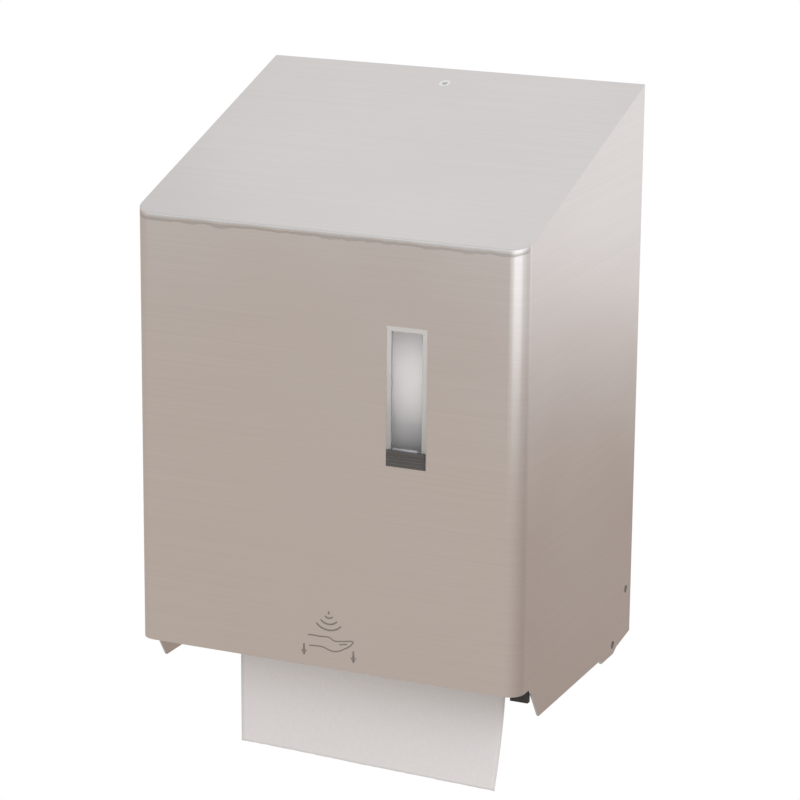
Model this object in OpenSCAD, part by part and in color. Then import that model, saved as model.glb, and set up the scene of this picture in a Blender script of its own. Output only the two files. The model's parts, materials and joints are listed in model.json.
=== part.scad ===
// Touchless roll towel dispenser for a wall.
// x = 0 is the centre line, y = 0 the wall and the front faces -y,
// z = 0 is level with the lower edge of the front panel.

/* [Paper] */
// Diameter of the roll
roll_d = 190; // [120:1:192]
// Width of the roll
roll_w = 212; // [190:1:230]
// Distance of the roll's right end from the hood's right side
roll_x = 27; // [26:0.5:29]
// How far the roll's axis lies in front of the middle of the depth
roll_y = 2; // [0:0.5:4]
// Height of the roll's axis
roll_z = 195; // [190:1:200]
// Bore of the cardboard core
core_d = 38; // [36:0.5:40]
// Wall of the cardboard core
core_t = 2; // [1:0.1:3]
// Thickness of the paper sheet
paper_t = 0.3; // [0.2:0.05:0.4]
// Length of paper that hangs below the front panel
tail_len = 87; // [40:1:95]
// How far the free corner swings forward
tail_swing = 14; // [0:1:16]

/* [Hood] */
// Width of the hood
hood_w = 300; // [280:1:320]
// Depth of the hood from the wall
hood_d = 232; // [220:1:250]
// Height of the front panel
front_h = 320; // [290:1:350]
// Rise of the top from the front to the wall
top_rise = 80; // [70:1:95]
// Drop of the side skirts below the front panel
skirt_drop = 26.5; // [26:0.5:30]
// Thickness of the sheet
sheet_t = 1.2; // [0.8:0.1:1.5]
// Outer radius of the two vertical bends
bend_r = 12; // [6:1:18]
// Width of the lip turned in at the foot of the front panel
hem_w = 8; // [4:0.5:9]
// Depth of the flange turned down at the rear of the top
rear_flange = 12; // [6:1:14]
// Length of the straight edge of the skirt behind the front
notch_len = 22; // [16:1:28]
// Distance of the skirt's tip behind the front
tip_back = 40; // [34:1:50]
// Radius of the skirt's tip
tip_r = 2.5; // [1:0.5:4]
// Length of the chamfer at the skirt's rear corner
skirt_chamfer = 26; // [18:1:30]
// Height of that chamfer
skirt_chamfer_h = 4; // [4:0.5:9]

/* [Hinge] */
// Distance of the hinge axis from the wall
hinge_y = 39.5; // [38:0.5:44]
// Height of the hinge axis
hinge_z = -22.5; // [-23:0.5:-20]
// Distance of the stop pins from the wall
stop_y = 13.5; // [12:0.5:16]
// Height of the stop pins
stop_z = 14; // [10:0.5:18]
// Diameter of the hinge pins and stop pins
pin_d = 6; // [5:0.1:6.5]
// Opening angle of the hood
open_angle = 70; // [50:1:72]
// Thickness of the hinge brackets
bracket_t = 2; // [1.5:0.1:2.5]
// Height of the hinge brackets above the front panel's lower edge
bracket_top = 40; // [36:1:50]
// Drop of the bracket's ear below the front panel's lower edge
ear_drop = 32; // [30:0.5:33]

/* [Window] */
// Centre of the window slot across the front
window_x = 62.75; // [40:0.25:80]
// Width of the slot
window_w = 30.5; // [26:0.5:36]
// Height of the slot
window_h = 101; // [80:1:110]
// Lower end of the slot
window_z = 157; // [140:1:180]
// Width of the pale border beside the pane
border_w = 3.5; // [2.5:0.25:5]
// Height of the dark clip at the lower end
clip_h = 12.5; // [10:0.5:16]
// How far the clip stands out of the front
clip_proud = 2.2; // [1:0.1:3]
// Thickness of the pane
pane_t = 2; // [1.5:0.1:3]

/* [Back plate] */
// Thickness of the back plate
plate_t = 2; // [1.5:0.1:2.5]
// Distance between the wall holes across
wall_dx = 200; // [190:1:215]
// Distance between the wall holes upward
wall_dz = 220; // [210:1:230]
// Height of the lower wall holes
wall_z = 110; // [102:1:118]
// Diameter of the wall holes
wall_hole_d = 6; // [5:0.1:7]
// Diameter of the inner fixing screws
fix_d = 4; // [3:0.1:4.5]

/* [Lock] */
// Distance of the key hole from the wall
lock_y = 23.6; // [22:0.2:26]
// Diameter of the hole in the top
lock_hole_d = 9; // [8:0.1:10]
// Bore for the key
key_d = 4.4; // [3:0.1:5]
// Diameter of the latch plunger
plunger_d = 8; // [6:0.1:9]
// Travel of the latch plunger
latch_travel = 6; // [4:0.5:6.5]
// Height of the latch housing
housing_h = 14; // [12:0.5:18]

/* [Drive] */
// Distance of the drive roller's axis behind the front face
drive_y = 59.4; // [58:0.1:60]
// Height of the roller axes
drive_z = 35; // [33:0.5:36]
// Radius of the drive roller
drive_r = 14; // [12:0.25:14.5]
// Radius of the pressure roller
press_r = 9; // [7:0.25:9.25]
// Diameter of the drive shaft
drive_shaft_d = 8; // [6:0.1:9]
// Diameter of the pressure shaft
press_shaft_d = 5; // [4:0.1:6]
// Number of rubber sleeves on each roller
sleeves = 5; // [3:1:6]
// Width of a rubber sleeve
sleeve_w = 26; // [15:1:30]
// Tooth module of the gears
gear_m = 1; // [0.9:0.02:1.02]
// Teeth of the drive gear
drive_teeth = 48; // [44:2:48]
// Teeth of the idler gear
idler_teeth = 30; // [26:2:30]
// Teeth of the motor pinion
pinion_teeth = 12; // [12:2:14]
// Width of the gears
gear_w = 6; // [4:0.5:8]
// Diameter of the motor
motor_d = 30; // [26:1:32]
// Length of the motor
motor_l = 54; // [40:1:60]
// Pitch of the tear bar's teeth
tooth_pitch = 4; // [3:0.5:6]
// Depth of the tear bar's teeth
tooth_depth = 3; // [2:0.5:4]

/* [Frame] */
// Thickness of the cheeks
cheek_t = 4; // [3:0.5:5]
// Room between the roll's left end and the left cheek
left_room = 11; // [10:0.5:13]
// Room between the roll's right end and the right cheek
right_room = 11; // [10.5:0.5:11.5]
// Thickness of the moulded walls
wall_t = 2; // [1.5:0.1:2.5]
// Thickness of the moulded feet on the back plate
foot_t = 3; // [2:0.5:4]
// Thickness of the stiffening ribs
rib_t = 1.6; // [1.2:0.1:2.5]
// Thickness of the drive bed's floor
bed_t = 3; // [2:0.5:4]
// Thickness of the roll arms
arm_t = 4; // [3:0.5:5]

/* [Batteries] */
// Diameter of a cell
cell_d = 34.2; // [33:0.1:34.6]
// Length of a cell with its cap
cell_l = 61.5; // [60:0.5:62]
// Distance of the battery box from the right cheek
box_x = 20.5; // [16.5:1:22.5]

/* [Fits] */
// Radial clearance of pins and shafts that turn
run_clear = 0.06; // [0.03:0.01:0.1]
// Radial clearance of pieces that are pushed together
push_clear = 0.05; // [0.02:0.01:0.1]
// Gap between pieces that pass each other
gap = 0.4; // [0.3:0.05:0.6]

/* [Hidden] */
$fn = 48;
eps = 0.01;
far = 600;
coil_sides = 6;
coil_rings = 8;
steel = "#b8aea8";
shaft_steel = "#a8a9ab";
spring_steel = "#9a9a9c";
black = "#1f1f21";
rubber = "#343436";
nylon = "#f2f0ea";
acetal = "#d8d6cf";
paper = "#f1efeb";

// Hood
half_w = hood_w / 2;
side_in = half_w - sheet_t;
front_y = -hood_d;
front_in = front_y + sheet_t;
rear_y = -plate_t - gap;
slope = atan(top_rise / hood_d);
top_drop = sheet_t / cos(slope);
function top_z(y) = front_h + top_rise * (y + hood_d) / hood_d;
function under_z(y) = top_z(y) - top_drop;

// Window
frame_back = 1.6;
frame_flange = 4;
pane_lip = 1.5;
pane_step = 0.6;
clip_seat = 0.8;
window_rear = front_in + frame_back;
window_top = window_z + window_h;
pane_low = window_z + clip_h;

// Hinge brackets
screw_head_d = fix_d * 1.9;
stop_r = norm([hinge_y - stop_y, stop_z - hinge_z]);
stop_angle = atan2(stop_z - hinge_z, hinge_y - stop_y);
bracket_clear = 0.5;
bracket_out = side_in - bracket_clear;
bracket_in = bracket_out - bracket_t;
bracket_foot = 9.2;
bracket_reach = 32.5;
bracket_front = hinge_y + bracket_reach;
bracket_low = -18;
bracket_cut = 10;
ear_rear = 6.5;
ear_front = 18.5;
ear_flat = [hinge_y - ear_rear, hinge_y + ear_front];
slot_steps = 14;
pin_inset = 0.4;
pin_head_h = 1.5;
pin_head_step = 2;
pin_head_d = pin_d + 2 * pin_head_step;

// Roll, web and rollers
roll_r = roll_d / 2;
roll_x1 = half_w - roll_x;
roll_x0 = roll_x1 - roll_w;
axle_y = -hood_d / 2 - roll_y;
feed_y = front_y + drive_y;
web_clear = 0.3;
web_steps = 8;
web_span = norm([feed_y - axle_y, drive_z - roll_z]);
web_aim = atan2(drive_z - roll_z, feed_y - axle_y);
web_normal = web_aim + 360 - acos(-(roll_r + drive_r + 2 * web_clear + paper_t) / web_span);
web_y = feed_y - drive_r - web_clear;
tail_cols = 10;
tail_rows = 10;
press_y = web_y - paper_t - web_clear - press_r;
sleeve_inset = 3;
sleeve_step = (roll_w - 2 * sleeve_inset - sleeve_w) / (sleeves - 1);
sleeve_t = 3;
core_r = drive_r - sleeve_t;

// Cheeks and bed
left_in = roll_x0 - left_room;
left_out = left_in - cheek_t;
right_in = roll_x1 + right_room;
right_out = right_in + cheek_t;
inner_foot_w = box_x - bracket_clear;
foot_screw = 9;
foot_rise = 10;
cheek_low = 1;
cheek_foot_low = 6;
cheek_rear_len = 60;
bar_in = 13;
bar_front = front_y + bar_in;
bar_d = 11;
bar_rear = bar_front + bar_d;
bar_z0 = 3;
bar_z1 = 20;
toe_in = 25;
foot_front = front_y + toe_in;
foot_z = -12;
foot_side = 1.3;
bed_z = 2;
bed_top = bed_z + bed_t;
guide_back = 1;
guide_h = 9;
guide_w = 4;
flap_forward = 6.5;
flap_rise = 29;
flap_y = press_y - flap_forward;
flap_z = drive_z + flap_rise;
flap_pin_d = 5;
flap_bar_d = 9;
flap_side = 3;
cheek_head = 10;
cheek_drop = 8;
cheek_tail = 6;
cheek_high = flap_z + cheek_head;
cheek_mid = cheek_high - cheek_drop;
cheek_back = cheek_mid - cheek_tail;
bearing_wall = 3;
bearing_d = drive_shaft_d + 2 * bearing_wall;
bearing_rim = 2;
shaft_out = 2;
bearing_flange = 1.5;
tear_gap = 0.9;
tear_t = 1.5;
tear_y = web_y - paper_t - tear_gap;
tear_low = 3;
tear_flange = 8;

// Sensor and switches in the cross bar
sensor_x = 3;
sensor_w = 44;
lens_d = 5;
lens_dx = 22;
lens_h = 3;
lens_seat = 5;
button_in = 64;
button_x = right_in - button_in;
button_d = 9;
button_travel = 1.5;
button_proud = 3;
switch_in = 48;
switch_x = right_in - switch_in;
switch_w = 4;
switch_h = 4;
switch_travel = 5;
switch_proud = 2.5;
cap_flange = 1.5;
switch_z = (bar_z0 + bar_z1) / 2;
cap_room = 4.2;
block_front = bar_front + wall_t + cap_room;
block_left = 10;
block_right = 16;

// Gears
pressure_angle = 25;
addendum = 0.8;
dedendum = 1.05;
backlash = 0.3;
drive_pitch = gear_m * drive_teeth / 2;
idler_pitch = gear_m * idler_teeth / 2;
pinion_pitch = gear_m * pinion_teeth / 2;
idler_y = feed_y + drive_pitch + idler_pitch;
motor_y = idler_y + idler_pitch + pinion_pitch;
hub_step = 0.5;
gear_wall = 3;
gear_rim = 2.5;
web_in = 2;
post_wall = 2;
shaft_end = 1;
post_end = 1.5;
pinion_end = 0.5;
gear_x1 = left_out - 2 * hub_step;
gear_x0 = gear_x1 - gear_w;
idler_post_d = 6;
motor_shaft_d = 3;
motor_boss_d = 10;
cover_clear = 2;
cover_room = 3;
cover_x0 = gear_x0 - cover_room - wall_t;
lug_r = 4.5;

// Battery box
cell_r = cell_d / 2;
cell_gap = 1;
row_play = 0.3;
contact_room = 3.5;
box_len = 2 * cell_l + 3 * contact_room + 2 * wall_t;
box_right = right_in - box_x;
box_left = box_right - box_len;
box_front = -plate_t - wall_t - cell_d - 4 * gap;
box_row = cell_d + cell_gap;
box_z0 = bed_top;
box_z1 = box_z0 + 2 * (box_row + wall_t + row_play);
cell_y = -plate_t - wall_t - gap - cell_r;
lid_t = 2.2;
lid_y = box_front - gap - lid_t;
lid_rise = 3.5;
lid_z = box_z0 + lid_rise;
lid_pin_d = 3;
lid_short = 0.5;
lid_top = box_z1 - lid_short;
ear_t = wall_t + 1;
function cell_z(row) = box_z0 + wall_t + row_play + box_row * (row + 0.5);

// Circuit board
board_t = 1.6;
board_rise = 7;
board_gap = 6;
board_inset = 5;
post_d = 6;
board_z = bed_top + board_rise;
board_x0 = left_in + board_gap;
board_x1 = box_left - board_gap;
board_y0 = motor_y + motor_d / 2 + board_gap;
board_rear = 20;
board_y1 = -plate_t - board_rear;
board_posts = [for (x = [board_x0 + board_inset, board_x1 - board_inset],
    y = [board_y0 + board_inset, board_y1 - board_inset]) [x, y]];

// Lock
latch_depth = 54;
latch_z = top_z(-lock_y) - latch_depth;
latch_half = 9;
spring_room = 9.5;
head_t = 3;
head_z = latch_z + housing_h + spring_room;
nose_h = latch_travel;
nose_t = 3;
nose_half = 5;
plunger_rise = 7;
plunger_top = head_z + head_t + plunger_rise;
lift_clear = 1;
nose_top = head_z + head_t + nose_h;
strike_foot = nose_top + lift_clear;
strike_t = 1.6;
strike_len = 20;
strike_back = 9.8;
strike_y = -lock_y - strike_back;
nose_gap = 0.6;
nose_y = strike_y - nose_gap;
bush_foot = plunger_top + latch_travel + lift_clear;
bush_flange = 6;
collar_h = 3;
collar_z = latch_z - latch_travel - lift_clear - collar_h;
latch_foot = 26;
latch_screw = 18;
housing_wall = 3.5;

// Arms
arm_end_r = 16;
arm_root = 25;
arm_neck = 12.5;
arm_neck_y = 10;
arm_rib_h = 6;
arm_rib_half = 2;
tab_len = 14;
axle_d = 10;
hub_flange_r = 26;
hub_flange_t = 1.6;
hub_holes = 6;
hub_hole_d = 5;
plug_l = 10;
left_plug_l = 18;
plug_taper = 4;
left_arm_gap = 3;
left_arm_x1 = roll_x0 - left_arm_gap;
left_arm_x0 = left_arm_x1 - arm_t;
right_arm_gap = 4;
right_arm_x0 = roll_x1 + right_arm_gap;
right_arm_x1 = right_arm_x0 + arm_t;
arm_pivot_x = (right_arm_x0 + right_arm_x1) / 2;
arm_pivot_y = -14;
arm_pivot_half = 8;
arm_pin_d = 5;
barrel_r = 5.5;
barrel_low = 5;
barrel_high = 12;
barrel_z = [roll_z - barrel_low, roll_z + barrel_high];
lug_gap = 0.5;
lug_t = 3.5;
spring_h = 7;
arm_foot_half = 9;
arm_foot_w = 24;
arm_screw = 14;
arm_screw_rise = 16;
bracket_down = 28;
bracket_up = 36;
bracket_screw_in = 8;

// Screws: x, z and the thickness of the foot under the head
bracket_screw_x = bracket_in - screw_head_d / 2 - 2 * push_clear;
bracket_screws = [bracket_low + foot_rise, bracket_top - bracket_screw_in];
cheek_screws = [cheek_foot_low + foot_rise, cheek_back - foot_rise];
arm_screws = [bracket_screw_in - bracket_down, bracket_up - bracket_screw_in];
fixings = concat(
    [for (s = [-1, 1], z = bracket_screws) [s * bracket_screw_x, z, bracket_t]],
    [for (x = [left_in + foot_screw, right_in - foot_screw], z = cheek_screws) [x, z, foot_t]],
    [for (s = [-1, 1]) [left_arm_x1 + arm_screw, roll_z + s * arm_screw_rise, foot_t]],
    [for (z = arm_screws) [arm_pivot_x, roll_z + z, foot_t]],
    [for (s = [-1, 1]) [s * latch_screw, latch_z + housing_h / 2, foot_t]]
);

// Extrudes an outline drawn in y and z from x0 to x1
module slab_x(x0, x1) {
    translate([x0, 0, 0]) rotate([90, 0, 90]) linear_extrude(x1 - x0) children();
}

// Extrudes an outline drawn in x and z from y0 to y1
module slab_y(y0, y1) {
    translate([0, y1, 0]) rotate([90, 0, 0]) linear_extrude(y1 - y0) children();
}

// Round bar along x
module bar_x(x0, x1, y, z, d) {
    translate([x0, y, z]) rotate([0, 90, 0]) cylinder(d = d, h = x1 - x0);
}

// Round bar along y
module bar_y(y0, y1, x, z, d) {
    translate([x, y1, z]) rotate([90, 0, 0]) cylinder(d = d, h = y1 - y0);
}

// Block between two corners
module block(a, b) {
    translate(a) cube(b - a);
}

// Rectangle between two corners with round corners
module round_rect(a, b, r) {
    translate([a[0] + r, a[1]]) square([b[0] - a[0] - 2 * r, b[1] - a[1]]);
    translate([a[0], a[1] + r]) square([b[0] - a[0], b[1] - a[1] - 2 * r]);
    for (x = [a[0] + r, b[0] - r], y = [a[1] + r, b[1] - r]) translate([x, y]) circle(r);
}

function polar(r, a) = [r * cos(a), r * sin(a)];
function backwards(list) = [for (k = [len(list) - 1:-1:0]) list[k]];
function unit(v) = v / norm(v);

// Points of a rounded corner at b between a and c
corner_steps = 6;
function rounded(a, b, c, r) =
    let (u = unit(a - b), v = unit(c - b), half = acos(u * v) / 2, mid = unit(u + v))
    let (centre = b + mid * r / sin(half), out = atan2(-mid[1], -mid[0]))
    let (turn = sign(u[0] * v[1] - u[1] * v[0]) * (90 - half))
    [for (k = [0:corner_steps]) centre + polar(r, out + turn * (1 - 2 * k / corner_steps))];

// Everything below the sloped top, lowered by a drop
module below_top(drop) {
    slab_x(-half_w, half_w) polygon([
        [front_y, top_z(front_y) - drop], [0, top_z(0) - drop], [0, -far], [front_y, -far]
    ]);
}

// Helical wire around z, from z = 0 upward; the least gap between its turns is printed
function coil_line(r, wire, pitch, k) =
    [for (v = polar(r, 360 * k / coil_rings)) v, wire / 2 + pitch * k / coil_rings];
function coil_point(r, wire, pitch, k, s) =
    let (a = 360 * k / coil_rings, b = 360 * s / coil_sides, q = r + wire / 2 * cos(b))
    [q * cos(a), q * sin(a), wire / 2 + pitch * k / coil_rings + wire / 2 * sin(b)];
function coil_gap(r, wire, pitch, n) = min([for (k = [0:n], j = [k + coil_rings / 2:1:n])
    norm(coil_line(r, wire, pitch, k) - coil_line(r, wire, pitch, j))]) - wire;

module coil(r, wire, pitch, turns) {
    n = round(turns * coil_rings);
    echo(least_gap = coil_gap(r, wire, pitch, n));
    points = [for (k = [0:n], s = [0:coil_sides - 1]) coil_point(r, wire, pitch, k, s)];
    sides = [for (k = [0:n - 1], s = [0:coil_sides - 1])
        let (t = (s + 1) % coil_sides, a = k * coil_sides, b = a + coil_sides)
        each [[a + s, b + t, b + s], [a + s, a + t, b + t]]];
    caps = [for (s = [1:coil_sides - 2])
        each [[0, s + 1, s], [n * coil_sides, n * coil_sides + s, n * coil_sides + s + 1]]];
    polyhedron(points, concat(sides, caps));
}

// Outline of a spur gear with involute flanks
function involute(a) = (tan(a) - a * PI / 180) * 180 / PI;
function half_tooth(teeth, r) =
    let (base = gear_m * teeth / 2 * cos(pressure_angle))
    90 / teeth - backlash * 90 / (PI * gear_m * teeth)
    + involute(pressure_angle) - involute(acos(min(1, base / r)));

module gear_outline(teeth, phase) {
    pitch = gear_m * teeth / 2;
    root = pitch - dedendum * gear_m;
    tip = pitch + addendum * gear_m;
    radii = [root, (root + pitch) / 2, pitch, (pitch + tip) / 2, tip];
    last = len(radii) - 1;
    polygon([for (k = [0:teeth - 1]) let (a = phase + 360 * k / teeth) each concat(
        [for (i = [0:last]) polar(radii[i], a - half_tooth(teeth, radii[i]))],
        [for (i = [0:last]) polar(radii[last - i], a + half_tooth(teeth, radii[last - i]))]
    )]);
}

// Gear with a hub, a rim and a thinner web between them, its axis along x
module gear_x(y, teeth, phase, bore, hub_d) {
    rim_r = gear_m * (teeth / 2 - dedendum) - gear_rim;
    slab_x(gear_x0, gear_x1) translate([y, drive_z]) difference() {
        gear_outline(teeth, phase);
        circle(rim_r);
    }
    slab_x(gear_x0 + web_in, gear_x1) translate([y, drive_z]) difference() {
        circle(rim_r + eps);
        circle(d = bore);
    }
    slab_x(gear_x0, gear_x1 + hub_step) translate([y, drive_z]) difference() {
        circle(d = hub_d);
        circle(d = bore);
    }
}

// Holes of the inner fixing screws
module fixing_holes() {
    for (f = fixings) bar_y(-hinge_y, plate_t, f[0], f[1], fix_d + 2 * push_clear);
}

// Plan of the hood, drawn in by an inset
module hood_plan(inset, rear) {
    half = half_w - inset;
    r = bend_r - inset;
    front = front_y + inset;
    translate([-half, front + r]) square([2 * half, rear - front - r]);
    translate([-half + r, front]) square([2 * (half - r), 2 * r]);
    for (s = [-1, 1]) translate([s * (half - r), front + r]) circle(r);
}

// Side view of the hood up to the top, lowered by a drop
module hood_side(drop) {
    heel = [rear_y - skirt_chamfer, -skirt_drop];
    tip = [front_y + tip_back, -skirt_drop];
    notch = [front_y + notch_len, 0];
    polygon(concat(
        [[front_y, 0], [front_y, top_z(front_y) - drop], [rear_y, top_z(rear_y) - drop]],
        [[rear_y, -skirt_drop + skirt_chamfer_h], heel],
        rounded(heel, tip, notch, tip_r),
        [notch]
    ));
}

module window_slot(inset, z0, z1) {
    translate([window_x - window_w / 2 + inset, z0]) square([window_w - 2 * inset, z1 - z0]);
}

module hood_wrap() {
    color(steel) difference() {
        union() {
            intersection() {
                translate([0, 0, -skirt_drop]) linear_extrude(far) difference() {
                    hood_plan(0, rear_y);
                    hood_plan(sheet_t, 1);
                }
                slab_x(-half_w, half_w) hood_side(top_drop);
            }
            block([-half_w + bend_r, front_in - eps, 0], [half_w - bend_r, front_in + hem_w, sheet_t]);
        }
        slab_y(front_y - 1, front_in + 1) window_slot(0, window_z, window_top);
        bar_x(-far, far, -hinge_y, hinge_z, pin_d + 2 * run_clear);
        bar_x(-far, far, -stop_y, stop_z, pin_d);
    }
}

module hood_top() {
    color(steel) difference() {
        union() {
            intersection() {
                linear_extrude(far) hood_plan(0, rear_y);
                slab_x(-half_w, half_w) polygon([
                    [front_y, under_z(front_y)], [front_y, top_z(front_y)],
                    [0, top_z(0)], [0, under_z(0)]
                ]);
            }
            slab_x(-side_in + gap, side_in - gap) polygon([
                [rear_y - sheet_t, under_z(rear_y - sheet_t) + eps], [rear_y, under_z(rear_y) + eps],
                [rear_y, under_z(rear_y) - rear_flange],
                [rear_y - sheet_t, under_z(rear_y) - rear_flange]
            ]);
        }
        translate([0, -lock_y, front_h]) cylinder(d = lock_hole_d, h = far);
    }
}

// Angle under the top whose tab the latch holds
module hood_strike() {
    front = strike_y - strike_len;
    rear = strike_y + strike_t;
    color(steel) slab_x(-latch_half, latch_half) polygon([
        [front, under_z(front)], [rear, under_z(rear)], [rear, strike_foot], [strike_y, strike_foot],
        [strike_y, under_z(strike_y) - strike_t], [front, under_z(front) - strike_t]
    ]);
}

module key_bush() {
    color(nylon) difference() {
        union() {
            intersection() {
                translate([0, -lock_y, bush_foot]) cylinder(d = lock_hole_d - 2 * push_clear, h = far);
                below_top(0);
            }
            intersection() {
                translate([0, -lock_y, bush_foot]) cylinder(d = lock_hole_d + bush_flange, h = far);
                below_top(top_drop);
            }
        }
        translate([0, -lock_y, 0]) cylinder(d = key_d, h = far);
    }
}

module stop_pins() {
    color(spring_steel) for (s = [0, 1]) mirror([s, 0, 0]) {
        bar_x(bracket_in - bracket_t, half_w - pin_inset, -stop_y, stop_z, pin_d);
    }
}

module window_frame() {
    color("#e6e4e0") difference() {
        union() {
            slab_y(front_y, front_in + eps) window_slot(push_clear, window_z, window_top - push_clear);
            slab_y(front_in, window_rear) {
                window_slot(-frame_flange, window_z - frame_flange, window_top + frame_flange);
            }
        }
        slab_y(front_y - 1, window_rear + 1) window_slot(border_w, pane_low, window_top - border_w);
        slab_y(window_rear - pane_step, window_rear + 1) {
            window_slot(border_w - pane_lip, pane_low - pane_lip, window_top - border_w + pane_lip);
        }
        slab_y(front_y - 1, front_y + clip_seat) window_slot(0, window_z - 1, pane_low - gap / 2);
    }
}

module window_pane() {
    lip = border_w - pane_lip + 2 * push_clear;
    inner = border_w + push_clear;
    color("#c9d0d2", 0.6) {
        slab_y(window_rear - pane_t, window_rear - pane_step + eps) {
            window_slot(inner, pane_low + push_clear, window_top - inner);
        }
        slab_y(window_rear - pane_step, window_rear + pane_step) {
            window_slot(lip, pane_low - pane_lip + 2 * push_clear, window_top - lip);
        }
    }
}

// Dark bar with a ledge on top and ribs for the fingers
module window_clip() {
    face = front_y - clip_proud;
    low = window_z + gap;
    high = pane_low - gap;
    ledge = 2;
    inset = 1;
    ribs = 3;
    rib_d = 1.2;
    rib_step = (high - low - ledge) / (ribs + 1);
    rib_half = window_w / 2 - 2 * inset;
    color("#4b4746") {
        slab_y(face + clip_seat, front_y + clip_seat) window_slot(inset, low, high);
        slab_y(face, face + clip_seat + eps) window_slot(inset, high - ledge, high);
        for (k = [1:ribs]) {
            bar_x(window_x - rib_half, window_x + rib_half, face + clip_seat, low + k * rib_step, rib_d);
        }
    }
}

module back_plate() {
    inset = 1;
    corner_r = 4;
    color(steel) difference() {
        slab_y(-plate_t, 0) difference() {
            round_rect([-half_w + inset, -skirt_drop + skirt_chamfer_h],
                [half_w - inset, top_z(rear_y) - 2 * inset], corner_r);
            for (x = [-1, 1], z = [0, 1]) {
                translate([x * wall_dx / 2, wall_z + z * wall_dz]) circle(d = wall_hole_d);
            }
        }
        fixing_holes();
    }
}

// Side plate with the hinge hole, the arc slot for the stop pin and a foot on the back plate
module hinge_bracket() {
    slot_half = pin_d / 2 + gap;
    last = stop_angle + open_angle;
    arc = [for (k = [0:slot_steps]) stop_angle + open_angle * k / slot_steps];
    turn = [for (k = [1:slot_steps - 1]) 180 * k / slot_steps];
    slot = concat(
        [for (a = arc) polar(stop_r + slot_half, a)],
        [for (b = turn) polar(stop_r, last) + polar(slot_half, last + b)],
        [for (a = backwards(arc)) polar(stop_r - slot_half, a)],
        [for (b = turn) polar(stop_r, stop_angle) + polar(slot_half, stop_angle + 180 + b)]
    );
    color(steel) difference() {
        union() {
            slab_x(bracket_in, bracket_out) difference() {
                polygon([
                    [-plate_t, bracket_top], [-plate_t, bracket_low], [-ear_flat[0], -ear_drop],
                    [-ear_flat[1], -ear_drop], [-bracket_front, bracket_low + 2 * bracket_t],
                    [-bracket_front, bracket_top - bracket_cut], [-bracket_front + bracket_cut, bracket_top]
                ]);
                translate([-hinge_y, hinge_z]) polygon(slot);
            }
            block([bracket_out - bracket_foot, -plate_t - bracket_t, bracket_low],
                [bracket_out, -plate_t, bracket_top]);
        }
        bar_x(0, far, -hinge_y, hinge_z, pin_d);
        fixing_holes();
    }
}

module right_hinge_bracket() {
    hinge_bracket();
}

module left_hinge_bracket() {
    mirror([1, 0, 0]) hinge_bracket();
}

module hinge_pins() {
    color(spring_steel) for (s = [0, 1]) mirror([s, 0, 0]) {
        bar_x(bracket_in - pin_head_h, half_w - pin_inset, -hinge_y, hinge_z, pin_d);
        bar_x(bracket_in - pin_head_h, bracket_in, -hinge_y, hinge_z, pin_head_d);
    }
}

// Pan head screws of the inner pieces
module fixing_screws() {
    head_h = 2.4;
    slot_w = 0.9;
    end_inset = 0.2;
    color("#8f9092") for (f = fixings) {
        seat = -plate_t - f[2];
        difference() {
            union() {
                bar_y(seat, -end_inset, f[0], f[1], fix_d);
                bar_y(seat - head_h, seat, f[0], f[1], screw_head_d);
            }
            for (turn = [0, 90]) translate([f[0], seat - head_h, f[1]]) rotate([0, turn, 0]) {
                cube([fix_d, head_h, slot_w], center = true);
            }
        }
    }
}

module latch_housing() {
    front = -lock_y - plunger_d / 2 - housing_wall;
    rib_low = latch_z - housing_h / 2;
    color(black) difference() {
        union() {
            block([-latch_half, front, latch_z], [latch_half, -plate_t, latch_z + housing_h]);
            slab_y(-plate_t - foot_t, -plate_t) {
                round_rect([-latch_foot, latch_z], [latch_foot, latch_z + housing_h], foot_t);
            }
            for (s = [-1, 1]) translate([s * (latch_half - rib_t / 2) - rib_t / 2, 0, 0]) {
                slab_x(0, rib_t) polygon([
                    [-plate_t, latch_z + eps], [front / 2, latch_z + eps], [-plate_t, rib_low]
                ]);
            }
        }
        translate([0, -lock_y, 0]) cylinder(d = plunger_d + 2 * run_clear, h = far);
        fixing_holes();
    }
}

module latch_spring() {
    wire = 0.9;
    turns = 4;
    play = 0.2;
    color(spring_steel) translate([0, -lock_y, latch_z + housing_h + play]) {
        coil(plunger_d / 2 + 1.5, wire, (spring_room - 2 * play - wire) / turns, turns);
    }
}

// Plunger pressed down by the key, with a nose in front of the strike
module latch_plunger() {
    collar_d = plunger_d + 3;
    head_d = plunger_d + 5;
    seat = head_z + head_t - eps;
    color(acetal) {
        translate([0, -lock_y, collar_z]) cylinder(d = plunger_d, h = plunger_top - collar_z);
        translate([0, -lock_y, collar_z]) cylinder(d = collar_d, h = collar_h);
        translate([0, -lock_y, head_z]) cylinder(d = head_d, h = head_t);
        block([-nose_half, nose_y - nose_t, head_z], [nose_half, -lock_y, head_z + head_t]);
        slab_x(-nose_half, nose_half) polygon([
            [nose_y - nose_t, seat], [nose_y, seat], [nose_y, nose_top],
            [nose_y - nose_t / 2, nose_top], [nose_y - nose_t, nose_top - nose_t / 2]
        ]);
    }
}

// Side outline shared by the two cheeks
module cheek_outline() {
    front = flap_y - flap_bar_d;
    polygon([
        [-plate_t, cheek_low], [bar_front, cheek_low], [bar_front, bar_z1 + wall_t],
        [front, bar_z1 + 3 * wall_t], [front, cheek_high], [flap_y + flap_bar_d, cheek_high],
        [feed_y + 2 * core_r, cheek_mid], [-cheek_rear_len, cheek_mid], [-plate_t, cheek_back]
    ]);
}

module cheek_bores() {
    bar_x(-far, far, feed_y, drive_z, bearing_d);
    bar_x(-far, far, flap_y, flap_z, flap_pin_d + 2 * run_clear);
}

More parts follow.
